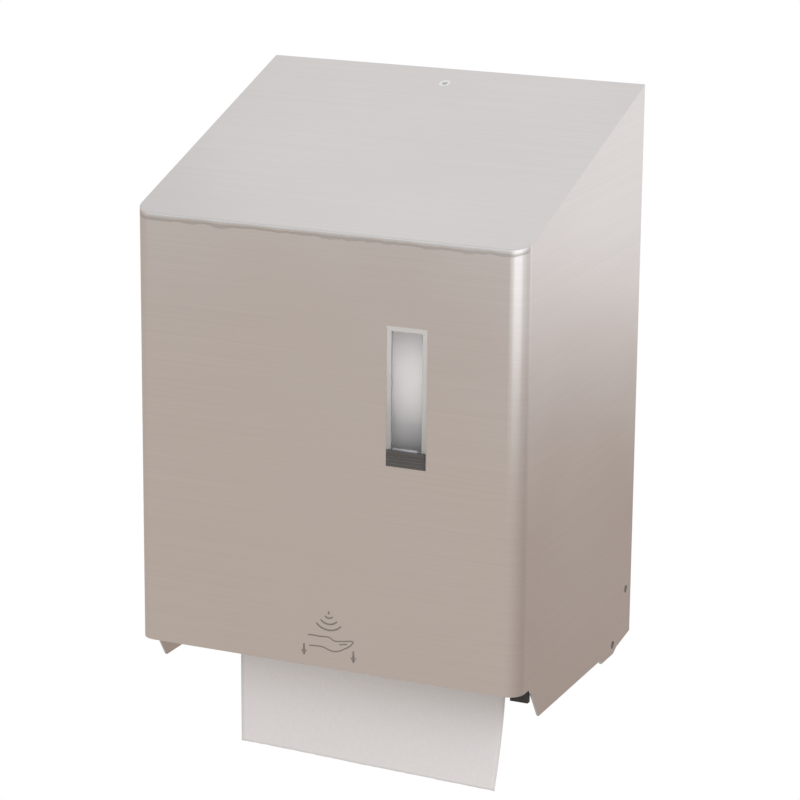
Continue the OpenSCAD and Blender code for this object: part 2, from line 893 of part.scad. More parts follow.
// Ribs on a cheek's outer face: one along its upper edge and uprights behind the gears
module cheek_ribs(x0, x1) {
    rear = -plate_t - foot_t;
    uprights = 3;
    first = -cheek_rear_len;
    step = (rear - first) / uprights;
    slab_x(x0, x1) {
        translate([first, cheek_back - rib_t]) square([rear - first, rib_t]);
        for (k = [0:uprights - 1]) translate([first + k * step, cheek_low]) {
            square([rib_t, cheek_back - cheek_low]);
        }
    }
}

module left_cheek() {
    color(black) difference() {
        union() {
            slab_x(left_out, left_in) cheek_outline();
            block([left_out, -plate_t - foot_t, cheek_foot_low],
                [left_in + inner_foot_w, -plate_t, cheek_back]);
            cheek_ribs(left_out - 2 * rib_t, left_out + eps);
        }
        cheek_bores();
        bar_x(left_out - 1, left_in + 1, motor_y, drive_z, motor_boss_d);
        bar_x(left_out - 1, left_in + 1, idler_y, drive_z, idler_post_d);
        fixing_holes();
    }
}

// The right cheek's front flange reaches down beside the notch of the hood
module right_cheek() {
    toe = 20;
    color(black) difference() {
        union() {
            slab_x(right_in, right_out) {
                cheek_outline();
                polygon([
                    [foot_front, foot_z], [foot_front + toe, foot_z],
                    [foot_front + 2 * toe, cheek_low + eps], [foot_front, cheek_low + eps]
                ]);
            }
            block([right_in, foot_front, foot_z], [side_in - foot_side, foot_front + cheek_t, cheek_back]);
            block([right_in - inner_foot_w, -plate_t - foot_t, cheek_foot_low],
                [right_out, -plate_t, cheek_back]);
            cheek_ribs(right_out - eps, right_out + 2 * rib_t);
        }
        cheek_bores();
        fixing_holes();
    }
}

// Floor between the cheeks with the guide behind the paper and posts for the board
module drive_bed() {
    guide_y = web_y + guide_back;
    guide_top = bed_top + guide_h;
    ribs = 9;
    rib_inset = 10;
    rib_len = 12;
    rib_step = (right_in - left_in - 2 * rib_inset) / (ribs - 1);
    color(black) {
        block([left_in, guide_y, bed_z], [right_in, -plate_t - foot_t - 1, bed_top]);
        slab_x(left_in, right_in) polygon([
            [guide_y, bed_z], [guide_y, guide_top], [guide_y + guide_w / 2, guide_top],
            [guide_y + guide_w, bed_top], [guide_y + guide_w, bed_z]
        ]);
        for (k = [0:ribs - 1]) translate([left_in + rib_inset + k * rib_step - rib_t / 2, 0, 0]) {
            slab_x(0, rib_t) polygon([
                [guide_y + 1, bed_top - eps], [guide_y + 1, guide_top], [guide_y + rib_len, bed_top - eps]
            ]);
        }
        for (p = board_posts) translate([p[0], p[1], bed_top - eps]) {
            cylinder(d = post_d, h = board_rise + eps);
        }
    }
}

// Channel in front of the paper that holds the sensor and the switches
module cross_bar() {
    room = bar_d - 2 * wall_t;
    cut = bar_front + wall_t + 1;
    half = switch_h / 2 + gap;
    color(black) difference() {
        slab_x(left_in, right_in) difference() {
            translate([bar_front, bar_z0]) square([bar_d, bar_z1 - bar_z0]);
            translate([bar_front + wall_t, bar_z0 - 1]) square([room, bar_z1 - bar_z0 + 1 - wall_t]);
        }
        bar_y(bar_front - 1, cut, button_x, switch_z, button_d + 2 * gap);
        block([switch_x - gap, bar_front - 1, switch_z - half],
            [switch_x + switch_w + switch_travel + gap, cut, switch_z + half]);
    }
}

// Serrated blade with a stiffening flange
module tear_bar() {
    inset = 1;
    span = right_in - left_in - 2 * inset;
    count = floor(span / tooth_pitch);
    first = left_in + inset + (span - count * tooth_pitch) / 2;
    root = tear_low + tooth_depth;
    color("#c9c9c8") {
        slab_y(tear_y - tear_t, tear_y) polygon(concat(
            [[left_in, bar_z1], [left_in, root]],
            [for (k = [0:count - 1]) let (x = first + k * tooth_pitch)
                each [[x, root], [x + tooth_pitch / 2, tear_low]]],
            [[first + count * tooth_pitch, root], [right_in, root], [right_in, bar_z1]]
        ));
        block([left_in, tear_y - tear_flange, bar_z1 - tear_t], [right_in, tear_y - tear_t + eps, bar_z1]);
    }
}

module drive_bearings() {
    seat_d = bearing_d - 2 * push_clear;
    flange_d = bearing_d + 2 * bearing_rim;
    color(acetal) difference() {
        union() {
            bar_x(left_out, left_in + bearing_flange, feed_y, drive_z, seat_d);
            bar_x(left_in, left_in + bearing_flange, feed_y, drive_z, flange_d);
            bar_x(right_in - bearing_flange, right_out, feed_y, drive_z, seat_d);
            bar_x(right_in - bearing_flange, right_in, feed_y, drive_z, flange_d);
        }
        bar_x(-far, far, feed_y, drive_z, drive_shaft_d + 2 * run_clear);
    }
}

module drive_shaft() {
    color(shaft_steel) bar_x(gear_x0 - shaft_end, right_out + shaft_out, feed_y, drive_z, drive_shaft_d);
}

module drive_core() {
    color(black) difference() {
        bar_x(roll_x0 - sleeve_inset, roll_x1 + sleeve_inset, feed_y, drive_z, 2 * core_r);
        bar_x(-far, far, feed_y, drive_z, drive_shaft_d + 2 * eps);
    }
}

// Rubber sleeves spread over the width of the paper
module sleeve_row(y, r, bore) {
    for (k = [0:sleeves - 1]) difference() {
        x = roll_x0 + sleeve_inset + k * sleeve_step;
        bar_x(x, x + sleeve_w, y, drive_z, 2 * r);
        bar_x(x - 1, x + sleeve_w + 1, y, drive_z, bore);
    }
}

module drive_sleeves() {
    color(rubber) sleeve_row(feed_y, drive_r, 2 * core_r + 2 * eps);
}

module drive_gear() {
    hub_d = drive_shaft_d + 2 * gear_wall;
    color(acetal) gear_x(feed_y, drive_teeth, 0, drive_shaft_d + 2 * eps, hub_d);
}

module idler_post() {
    color(shaft_steel) bar_x(gear_x0 - post_end, left_in, idler_y, drive_z, idler_post_d);
}

module idler_gear() {
    hub_d = idler_post_d + 2 * post_wall;
    color(nylon) gear_x(idler_y, idler_teeth, 180 / idler_teeth, idler_post_d + 2 * run_clear, hub_d);
}

// Pinion with the motor's shaft
module pinion() {
    color("#b59a5a") slab_x(gear_x0, gear_x1) translate([motor_y, drive_z]) {
        gear_outline(pinion_teeth, pinion_teeth % 4 == 0 ? 0 : 180 / pinion_teeth);
    }
    color(shaft_steel) bar_x(gear_x0 - pinion_end, left_in + motor_l / 2, motor_y, drive_z, motor_shaft_d);
}

module motor() {
    cap = 4;
    tag = [5, 0.6, 3];
    tag_in = 0.5;
    tag_out = 7;
    end = left_in + motor_l;
    color("#8c8d8f") difference() {
        union() {
            bar_x(left_in, end - cap, motor_y, drive_z, motor_d);
            bar_x(left_out + hub_step, left_in + eps, motor_y, drive_z, motor_boss_d - 2 * push_clear);
            bar_x(end - cap - eps, end, motor_y, drive_z, motor_d - cap);
            for (s = [-1, 1]) translate([end + tag[0] / 2 - tag_in, motor_y, drive_z + s * tag_out]) {
                cube(tag, center = true);
            }
        }
        bar_x(left_out, left_in + motor_l / 2 + 1, motor_y, drive_z, motor_shaft_d + 2 * run_clear);
    }
}

// Outline of the gear cover, drawn out by a margin from the gears
module cover_outline(margin) {
    tip = addendum * gear_m + margin;
    translate([feed_y, drive_z]) circle(drive_pitch + tip);
    translate([motor_y, drive_z]) circle(idler_pitch + tip);
    translate([feed_y, drive_z - idler_pitch - tip]) {
        square([motor_y - feed_y, 2 * (idler_pitch + tip)]);
    }
}

// Moulded cover over the gears with three screw lugs at its foot
module gear_cover() {
    margin = cover_clear + wall_t;
    drive_reach = drive_pitch + addendum * gear_m + margin;
    motor_reach = idler_pitch + addendum * gear_m + margin;
    lugs = [
        [feed_y, drive_z] + polar(drive_reach, 60),
        [feed_y, drive_z] + polar(drive_reach, 200),
        [motor_y, drive_z] + polar(motor_reach, 20)
    ];
    color(black) difference() {
        union() {
            slab_x(cover_x0, left_out) cover_outline(margin);
            for (p = lugs) bar_x(left_out - foot_t, left_out, p[0], p[1], 2 * lug_r);
        }
        slab_x(cover_x0 + wall_t, left_out + 1) cover_outline(cover_clear);
    }
}

// Flap that carries the pressure roller and swings on stubs in the cheeks
module flap_cover() {
    x0 = left_in + flap_side;
    x1 = right_in - flap_side;
    arm_w = 4;
    front = press_y - press_r - 3.5;
    low = drive_z - press_r - 4;
    lip = press_y - 3;
    arm_rear = press_y + 6;
    shoulder = flap_z + flap_bar_d / 2;
    rib_low = drive_z + press_r + 2;
    ribs = 6;
    rib_w = 2;
    rib_step = (x1 - x0 - 2 * arm_w) / (ribs + 1);
    color(black) difference() {
        union() {
            bar_x(x0, x1, flap_y, flap_z, flap_bar_d);
            bar_x(left_out + 1, right_out - 1, flap_y, flap_z, flap_pin_d);
            slab_x(x0, x1) polygon([
                [front, low], [front, flap_z + rib_w], [flap_y, shoulder], [flap_y, flap_z - rib_w],
                [front + wall_t, flap_z - 6], [front + wall_t, low + wall_t], [lip, low + wall_t],
                [lip, low]
            ]);
            for (x = [x0, x1 - arm_w]) slab_x(x, x + arm_w) polygon([
                [front, low], [arm_rear, low], [arm_rear, drive_z + press_r],
                [flap_y + arm_w, flap_z + rib_w], [flap_y, shoulder], [front, flap_z + rib_w]
            ]);
            for (k = [1:ribs]) translate([x0 + arm_w + k * rib_step - rib_w / 2, 0, 0]) {
                slab_x(0, rib_w) polygon([
                    [front + 1, rib_low], [press_y + 1, rib_low], [flap_y + 3, flap_z - rib_w],
                    [flap_y - 2, flap_z], [front + 1, flap_z - 3]
                ]);
            }
        }
        bar_x(-far, far, press_y, drive_z, press_shaft_d + 2 * run_clear);
    }
}

// Torsion springs on the flap's stubs
module flap_springs() {
    wire = 0.5;
    turns = 2;
    play = 0.2;
    pitch = (flap_side - 2 * play - wire) / turns;
    color(spring_steel) for (x = [left_in, right_in - flap_side]) translate([x + play, flap_y, flap_z]) {
        rotate([0, 90, 0]) coil(flap_pin_d / 2 + 0.8, wire, pitch, turns);
    }
}

module pressure_shaft() {
    color(shaft_steel) bar_x(left_in + 2, right_in - 2, press_y, drive_z, press_shaft_d);
}

module pressure_sleeves() {
    color(rubber) sleeve_row(press_y, press_r, press_shaft_d + 2 * eps);
}

module at_lenses(z) {
    for (s = [-1, 1]) translate([sensor_x + s * lens_dx / 2, (bar_front + bar_rear) / 2, z]) children();
}

module sensor_housing() {
    rise = 0.8;
    color("#2c2c2f") difference() {
        block([sensor_x - sensor_w / 2, bar_front + wall_t, bar_z0 + rise],
            [sensor_x + sensor_w / 2, bar_rear - wall_t, bar_z1 - wall_t]);
        at_lenses(0) cylinder(d = lens_d + 2 * push_clear, h = bar_z0 + lens_seat);
    }
}

module sensor_lenses() {
    color("#3a2630") at_lenses(bar_z0 + lens_seat - lens_h) {
        cylinder(d = lens_d, h = lens_h);
        intersection() {
            sphere(d = lens_d);
            translate([0, 0, -lens_d / 2]) cube(lens_d, center = true);
        }
    }
}

module switch_block() {
    color("#2f4a3a") block([button_x - block_left, block_front, bar_z0 + wall_t],
        [switch_x + block_right, bar_rear - wall_t, bar_z1 - wall_t]);
}

module feed_button() {
    rear = block_front - button_travel - gap;
    color("#c9c7c2") {
        bar_y(bar_front - button_proud, rear, button_x, switch_z, button_d);
        bar_y(bar_front + wall_t + gap, rear, button_x, switch_z, button_d + 2 * cap_flange);
    }
}

module mode_switch() {
    half = switch_h / 2;
    rear = block_front - gap;
    color("#c9c7c2") {
        block([switch_x, bar_front - switch_proud, switch_z - half],
            [switch_x + switch_w, rear, switch_z + half]);
        block([switch_x - cap_flange, bar_front + wall_t + gap, switch_z - half - cap_flange],
            [switch_x + switch_w + cap_flange, rear, switch_z + half + cap_flange]);
    }
}

// Circuit board on posts behind the motor
module circuit_board() {
    hole_d = 3;
    color("#2d5c3c") difference() {
        block([board_x0, board_y0, board_z], [board_x1, board_y1, board_z + board_t]);
        for (p = board_posts) translate([p[0], p[1], 0]) cylinder(d = hole_d, h = far);
    }
}

// Chip, two sockets, capacitors and a row of small parts
module board_parts() {
    top = board_z + board_t;
    chip = [12, 12, 2];
    socket = [18, 7, 9];
    plug = [12, 8, 9];
    can_d = 7;
    can_h = 11;
    can_step = 9;
    cans = 3;
    small = [3, 2, 1];
    small_step = 5;
    smalls = 4;
    color("#3b3b3e") {
        translate([board_x0 + chip[0], board_y0 + 18, top]) cube(chip);
        translate([board_x0 + chip[0], board_y0 + 1, top]) cube(socket);
        translate([board_x1 - 2 * plug[0], board_y1 - plug[1] - 1, top]) cube(plug);
        for (k = [0:cans - 1]) translate([board_x1 - plug[0] - can_step * k, board_y0 + 24, top]) {
            cylinder(d = can_d, h = can_h);
        }
        for (k = [0:smalls - 1]) {
            translate([board_x0 + 3 * chip[0], board_y0 + 36 + small_step * k, top]) cube(small);
        }
    }
}

// Tray for two rows of two cells, with saddles behind the cells and ears for the lid
module battery_box() {
    mid = (box_z0 + box_z1) / 2;
    shelf_back = 12;
    shelf_half = 0.3;
    saddles = 4;
    saddle_step = (box_len - 2 * wall_t) / (saddles + 1);
    saddle_d = 8;
    rear = -plate_t - wall_t;
    color(black) difference() {
        union() {
            difference() {
                union() {
                    block([box_left, box_front, box_z0], [box_right, -plate_t, box_z1]);
                    for (x = [box_left - ear_t, box_right - wall_t]) {
                        block([x, lid_y - 2 * lid_t, box_z0], [x + ear_t, box_front + 6, lid_z + 2 * lid_t]);
                    }
                }
                block([box_left + wall_t, lid_y - 3 * lid_t, box_z0 + wall_t],
                    [box_right - wall_t, rear, box_z1 - wall_t]);
            }
            block([box_left, box_front + shelf_back, mid - shelf_half], [box_right, rear, mid + shelf_half]);
            for (k = [1:saddles]) translate([box_left + wall_t + k * saddle_step - rib_t / 2, 0, 0]) {
                block([0, rear - saddle_d, box_z0 + wall_t - eps], [rib_t, rear, box_z1 - wall_t + eps]);
            }
        }
        for (row = [0, 1]) {
            bar_x(box_left + wall_t, box_right - wall_t, cell_y, cell_z(row), cell_d + 2 * row_play);
        }
        bar_x(box_left - 2 * ear_t, box_right + 2 * ear_t, lid_y, lid_z, lid_pin_d + 2 * run_clear);
    }
}

module battery_cells() {
    cap_d = 10;
    cap_h = 1.6;
    color("#b9772e") for (row = [0, 1], k = [0, 1]) {
        x = box_left + wall_t + contact_room + k * (cell_l + contact_room);
        bar_x(x, x + cell_l - cap_h, cell_y, cell_z(row), cell_d);
        bar_x(x + cell_l - cap_h - eps, x + cell_l, cell_y, cell_z(row), cap_d);
    }
}

// Plates at both ends of each row and coils at the cells' flat ends
module battery_contacts() {
    plate = 0.5;
    half = 10;
    wire = 0.6;
    sunk = 0.2;
    turns = 2;
    coil_r = 6;
    color("#cfcfcb") for (row = [0, 1]) {
        z = cell_z(row);
        for (x = [box_left + wall_t, box_right - wall_t - contact_room]) {
            block([x, cell_y - half, z - half], [x + plate, cell_y + half, z + half]);
        }
        translate([box_left + wall_t + plate - sunk, cell_y, z]) rotate([0, 90, 0]) {
            coil(coil_r, wire, (contact_room - plate - wire) / turns, turns);
        }
    }
}

module battery_lid() {
    x0 = box_left + gap;
    x1 = box_right - wall_t - gap;
    mid = (x0 + x1) / 2;
    grips = 5;
    grip_half = 14;
    grip_step = 3;
    grip_d = 1.4;
    color("#262628") {
        block([x0, lid_y, lid_z], [x1, lid_y + lid_t, lid_top]);
        bar_x(x0, x1, lid_y, lid_z, lid_t * 2);
        bar_x(box_left - wall_t, box_right, lid_y, lid_z, lid_pin_d);
        for (k = [1:grips]) {
            bar_x(mid - grip_half, mid + grip_half, lid_y, lid_top - 2 - grip_step * k, grip_d);
        }
    }
}

// Arm outline from a root to the roll's axis
module arm_outline(root_y, root_half) {
    shoulder = root_y - 30;
    neck = axle_y + arm_neck_y;
    translate([axle_y, roll_z]) circle(arm_end_r);
    polygon([
        [root_y, roll_z - root_half], [root_y, roll_z + root_half], [shoulder, roll_z + root_half],
        [neck, roll_z + arm_neck], [neck, roll_z - arm_neck], [shoulder, roll_z - root_half]
    ]);
}

// Stiffening rib along an arm
module arm_rib(x0, x1, root_y) {
    neck = axle_y + arm_neck_y;
    slab_x(x0, x1) translate([neck, roll_z - arm_rib_half]) square([root_y - neck, 2 * arm_rib_half]);
}

module left_arm() {
    axle_in = 15;
    color(black) difference() {
        union() {
            slab_x(left_arm_x0, left_arm_x1) arm_outline(-plate_t, arm_root);
            block([left_arm_x0, -plate_t - foot_t, roll_z - arm_root],
                [left_arm_x1 + arm_foot_w, -plate_t, roll_z + arm_root]);
            arm_rib(left_arm_x0 - arm_rib_h, left_arm_x0 + eps, -plate_t);
            bar_x(left_arm_x1 - eps, roll_x0 + axle_in, axle_y, roll_z, axle_d);
        }
        fixing_holes();
    }
}

// Holes round a hub's flange
module hub_holes(x0, x1) {
    r = (hub_flange_r + core_d / 2) / 2;
    for (k = [0:hub_holes - 1]) let (p = polar(r, 360 * k / hub_holes)) {
        bar_x(x0, x1, p[0] + axle_y, p[1] + roll_z, hub_hole_d);
    }
}

module left_hub() {
    inner = roll_x0 - gap;
    flange_x = inner - hub_flange_t;
    color(nylon) difference() {
        union() {
            bar_x(flange_x, inner, axle_y, roll_z, 2 * hub_flange_r);
            bar_x(flange_x, roll_x0 + left_plug_l, axle_y, roll_z, core_d - gap);
        }
        bar_x(flange_x - 1, roll_x0 + left_plug_l - wall_t, axle_y, roll_z, axle_d + 2 * run_clear);
        hub_holes(flange_x - 1, inner + 1);
    }
}

// Swinging arm with a tab for the thumb
module right_arm() {
    tab_front = axle_y - arm_end_r - tab_len;
    tab_half = 9;
    rib_h = 3;
    axle_in = plug_l - 3;
    color(black) difference() {
        union() {
            slab_x(right_arm_x0, right_arm_x1) {
                arm_outline(arm_pivot_y, arm_pivot_half);
                translate([tab_front + tab_half, roll_z]) circle(tab_half);
                translate([tab_front + tab_half, roll_z - tab_half]) {
                    square([arm_end_r + tab_len - tab_half, 2 * tab_half]);
                }
            }
            translate([arm_pivot_x, arm_pivot_y, barrel_z[0]]) {
                cylinder(r = barrel_r, h = barrel_z[1] - barrel_z[0]);
            }
            bar_x(roll_x1 - axle_in, right_arm_x0 + eps, axle_y, roll_z, axle_d);
            arm_rib(right_arm_x1 - eps, right_arm_x1 + rib_h, arm_pivot_y - arm_pivot_half);
        }
        translate([arm_pivot_x, arm_pivot_y, 0]) cylinder(d = arm_pin_d + 2 * run_clear, h = far);
        block([right_arm_x0 - 1, arm_pivot_y - barrel_r - 1, roll_z - 2 * arm_end_r],
            [right_arm_x1 + 1, 0, barrel_z[0]]);
    }
}

// Tapered plug that enters the core
module right_hub() {
    plug_r = core_d / 2 - gap;
    face = roll_x1 + 1.5 * gap;
    boss_d = axle_d + 8;
    color(nylon) difference() {
        union() {
            bar_x(face, face + hub_flange_t, axle_y, roll_z, 2 * hub_flange_r);
            translate([face + eps, axle_y, roll_z]) rotate([0, -90, 0]) {
                cylinder(r1 = plug_r, r2 = plug_r - plug_taper, h = plug_l + 1.5 * gap);
            }
            bar_x(face, right_arm_x0 - gap, axle_y, roll_z, boss_d);
        }
        bar_x(roll_x1 - plug_l + wall_t, far, axle_y, roll_z, axle_d + 2 * run_clear);
        hub_holes(face - 1, face + hub_flange_t + 1);
    }
}

// Two lugs on a foot that hold the right arm's pin
module arm_bracket() {
    low = barrel_z[0] - spring_h - lug_t;
    high = barrel_z[1] + lug_gap;
    lug_half = barrel_r;
    color(steel) difference() {
        union() {
            slab_y(-plate_t - foot_t, -plate_t) {
                round_rect([arm_pivot_x - arm_foot_half, roll_z - bracket_down],
                    [arm_pivot_x + arm_foot_half, roll_z + bracket_up], foot_t);
            }
            for (z = [low, high]) translate([0, 0, z]) linear_extrude(lug_t) {
                translate([arm_pivot_x, arm_pivot_y]) circle(lug_half);
                translate([arm_pivot_x - lug_half, arm_pivot_y]) {
                    square([2 * lug_half, -arm_pivot_y - plate_t]);
                }
            }
        }
        translate([arm_pivot_x, arm_pivot_y, 0]) cylinder(d = arm_pin_d + 2 * eps, h = far);
        fixing_holes();
    }
}

module arm_pin() {
    low = barrel_z[0] - spring_h - lug_t - 1;
    high = barrel_z[1] + lug_gap + lug_t;
    head_h = 1.6;
    color(shaft_steel) translate([arm_pivot_x, arm_pivot_y, low]) {
        cylinder(d = arm_pin_d, h = high - low);
        translate([0, 0, high - low]) cylinder(d = arm_pin_d + 3, h = head_h);
    }
}

module arm_spring() {
    wire = 0.7;
    turns = 4;
    play = 0.2;
    color(spring_steel) translate([arm_pivot_x, arm_pivot_y, barrel_z[0] - spring_h + play]) {
        coil(arm_pin_d / 2 + 1.2, wire, (spring_h - 2 * play - wire) / turns, turns);
    }
}

module paper_roll() {
    color(paper) difference() {
        bar_x(roll_x0, roll_x1, axle_y, roll_z, roll_d);
        bar_x(roll_x0 - 1, roll_x1 + 1, axle_y, roll_z, core_d + 2 * core_t);
    }
}

module roll_core() {
    color("#b08f68") difference() {
        bar_x(roll_x0, roll_x1, axle_y, roll_z, core_d + 2 * core_t - 4 * eps);
        bar_x(roll_x0 - 1, roll_x1 + 1, axle_y, roll_z, core_d);
    }
}

// Path of the paper from the roll, over the drive roller and down, at an offset from its inner face
function web_path(offset) = concat(
    [[axle_y, roll_z] + polar(roll_r + web_clear + paper_t - offset, web_normal + 180)],
    [for (k = [0:web_steps]) [feed_y, drive_z]
        + polar(drive_r + web_clear + offset, web_normal + (180 - web_normal) * k / web_steps)],
    [[web_y - offset, 0]]
);

module paper_web() {
    color(paper) slab_x(roll_x0, roll_x1) polygon(concat(web_path(0), backwards(web_path(paper_t))));
}

// Free end of the paper: one corner swings forward
function tail_point(i, j, offset) =
    let (u = i / tail_cols, v = j / tail_rows)
    [roll_x0 + roll_w * u, web_y - offset - tail_swing * pow(u, 1.5) * pow(v, 1.7), -tail_len * v];

module paper_tail() {
    stride = tail_cols + 1;
    layer = stride * (tail_rows + 1);
    points = [for (side = [0, 1], j = [0:tail_rows], i = [0:tail_cols]) tail_point(i, j, side * paper_t)];
    skin = [for (j = [0:tail_rows - 1], i = [0:tail_cols - 1])
        let (a = j * stride + i, b = a + 1, c = a + stride, d = c + 1)
        each [[a, d, b], [a, c, d], [layer + a, layer + b, layer + d], [layer + a, layer + d, layer + c]]];
    top = [for (a = [0:tail_cols - 1]) let (b = a + 1)
        each [[a, b, layer + b], [a, layer + b, layer + a]]];
    foot = [for (i = [0:tail_cols - 1]) let (a = tail_rows * stride + i, b = a + 1)
        each [[a, layer + b, b], [a, layer + a, layer + b]]];
    left = [for (j = [0:tail_rows - 1]) let (a = j * stride, c = a + stride)
        each [[a, layer + c, c], [a, layer + a, layer + c]]];
    right = [for (j = [0:tail_rows - 1]) let (a = j * stride + tail_cols, c = a + stride)
        each [[a, c, layer + c], [a, layer + c, layer + a]]];
    color(paper) polyhedron(points, concat(skin, top, foot, left, right));
}

hood_wrap();
hood_top();
hood_strike();
key_bush();
stop_pins();
window_frame();
window_pane();
window_clip();
back_plate();
left_hinge_bracket();
right_hinge_bracket();
hinge_pins();
fixing_screws();
latch_housing();
latch_spring();
latch_plunger();
left_cheek();
right_cheek();
drive_bed();
cross_bar();
tear_bar();
drive_bearings();
drive_shaft();
drive_core();
drive_sleeves();
drive_gear();
idler_post();
idler_gear();
pinion();
motor();
gear_cover();
flap_cover();
flap_springs();
pressure_shaft();
pressure_sleeves();
sensor_housing();
sensor_lenses();
switch_block();
feed_button();
mode_switch();
circuit_board();
board_parts();
battery_box();
battery_cells();
battery_contacts();
battery_lid();
left_arm();
left_hub();
right_arm();
right_hub();
arm_bracket();
arm_pin();
arm_spring();
paper_roll();
roll_core();
paper_web();
paper_tail();
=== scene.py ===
import json
import math

import bmesh
import bpy
from mathutils import Matrix, Vector, noise

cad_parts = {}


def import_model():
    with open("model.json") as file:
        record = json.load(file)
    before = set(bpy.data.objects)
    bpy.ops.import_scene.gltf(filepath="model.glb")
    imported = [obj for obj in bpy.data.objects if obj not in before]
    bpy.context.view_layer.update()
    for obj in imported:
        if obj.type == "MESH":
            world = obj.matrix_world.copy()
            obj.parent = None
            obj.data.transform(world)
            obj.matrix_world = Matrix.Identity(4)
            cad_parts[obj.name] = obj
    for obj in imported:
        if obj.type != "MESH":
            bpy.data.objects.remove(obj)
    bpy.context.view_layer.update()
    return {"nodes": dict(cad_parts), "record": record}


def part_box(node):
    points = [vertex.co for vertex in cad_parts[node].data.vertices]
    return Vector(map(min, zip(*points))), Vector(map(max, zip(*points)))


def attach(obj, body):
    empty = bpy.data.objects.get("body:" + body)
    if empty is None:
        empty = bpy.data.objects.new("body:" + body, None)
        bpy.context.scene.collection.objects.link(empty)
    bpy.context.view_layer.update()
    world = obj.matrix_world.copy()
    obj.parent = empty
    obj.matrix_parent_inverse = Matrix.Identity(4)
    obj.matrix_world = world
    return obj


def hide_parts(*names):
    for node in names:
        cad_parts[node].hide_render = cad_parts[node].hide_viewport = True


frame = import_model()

MM = 0.001
UP = Vector((0, 0, 1))

# Camera, fitted to the corners of the hood in the photograph's 800 pixel frame
FRAME_PX = 800
CAMERA_AZIMUTH = math.radians(23.97)
CAMERA_ELEVATION = math.radians(14.66)
CAMERA_ROLL = math.radians(0.49)
CAMERA_DISTANCE = 2.26833
CAMERA_TARGET = Vector((0, -0.1158, 0.2003))
FOCAL_PX = 3092.17
CENTRE_PX = (392.13, 360.28)
SENSOR_MM = 36

# Floor, far below the part, which hangs on a wall
FLOOR_Z = -2.0
FLOOR_R = 1.5
FLOOR_FADE = 0.55
FLOOR_GREY = (0.82, 0.82, 0.82)

# World: a dim light, and the room that shows in gloss
WORLD_DIFFUSE = 0.71
WORLD_COLOUR = (1.0, 0.985, 0.975)
ROOM_LIGHT = (0.74, 0.645, 0.575)
ROOM_DARK = (0.52, 0.43, 0.375)
ROOM_TOP = (0.90, 0.90, 0.90)
ROOM_DARK_SIDE = (0.6, 0.6, 0)
ROOM_SIDE_RANGE = (-0.8, 0.8)
ROOM_RISE_RANGE = (-0.15, 0.45)

# Soft boxes: place, point that it faces, size, radiance and colour
WHITE = (1, 1, 1)
WARM = (1.0, 0.96, 0.94)
COOL = (0.85, 0.93, 1.0)
SKY = (0.4, 0.8, 1.0)
SOFTBOXES = {
    # from the upper left, and a blue one close to the upper part of the front
    "front_card": ((-0.9, -1.4, 2.2), (0, -0.1, 0.2), (1.6, 1.6), 0.6, WARM),
    "sky_card": ((-0.17, -0.62, 0.43), (-0.1, -0.2, 0.43), (0.8, 0.3), 0.3, SKY),
    # for the right bend: a wide card, a second one that makes its core brighter, and one from the side
    "right_wide": ((0.347, -0.498, 0.365), (0.142, -0.226, 0.405), (0.73, 0.4), 0.6, COOL),
    "right_core": ((0.354, -0.517, 0.36), (0.142, -0.226, 0.40), (0.40, 0.4), 0.62, COOL),
    "side_card": ((0.565, -0.072, 0.38), (0.142, -0.226, 0.36), (0.56, 0.5), 0.52, COOL),
    # from behind, for the right side
    "rear_card": ((0.55, 0.75, 0.50), (0.15, -0.1, 0.34), (1.0, 1.0), 0.44, COOL),
    "rear_low": ((0.62, 0.87, 0.36), (0.15, -0.1, 0.26), (1.3, 1.0), 0.24, COOL),
    # from above and behind, for the top
    "top_card": ((-0.34, 0.53, 1.25), (0.06, -0.12, 0.36), (0.6, 0.6), 0.19, WHITE),
}

# Lamp for the roll behind the window; its aim is measured from the middle of the pane
WINDOW_LAMP = Vector((0.463, -1.13, -0.452))
WINDOW_AIM = Vector((-5 * MM, 0, 38 * MM))
WINDOW_POWER = 43
WINDOW_CONE = math.radians(6.0)
WINDOW_LAMP_R = 0.02

# Colours, linear
STEEL = (0.60, 0.577, 0.568)
PAPER = (0.905, 0.85, 0.83)
PRINT = (0.26, 0.222, 0.2)

# A noise field has most of its values between these
NOISE_RANGE = (0.3, 0.7)

# Colour sockets of a Mix node, by place, since their names repeat
MIX_A, MIX_B, MIX_RESULT = 6, 7, 2


# Sizes from the frame

def middle(node):
    """Centre of a node's box."""
    low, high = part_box(node)
    return (Vector(low) + Vector(high)) / 2


def half_size(node, axis):
    """Half of a node's box along an axis: the radius of a round one."""
    low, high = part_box(node)
    return (high[axis] - low[axis]) / 2


HOOD_LOW, HOOD_HIGH = (Vector(p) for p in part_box("hood_wrap"))
FRONT_Y = HOOD_LOW.y
HALF_W = HOOD_HIGH.x
ROLL_AXIS = middle("paper_roll")
ROLL_R = half_size("paper_roll", 2)
DRIVE_AXIS = middle("drive_sleeves")
DRIVE_R = half_size("drive_sleeves", 2)
TAIL_LOW, TAIL_HIGH = (Vector(p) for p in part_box("paper_tail"))

# The hood's bends and its sloped top, as the part's source has them
BEND_R = 12 * MM
FRONT_TOP = 320 * MM
TOP_SLOPE = 80 / 232

# Weld along the upper front edge; the face below its crest is painted darker, a painted shade under the
# crest
WELD_STEP = 0.5 * MM
WELD_END = 1.0 * MM
WELD_SHADE_FACE = 5

# Ink of the sign, half of it proud of the front
INK_T = 0.12 * MM

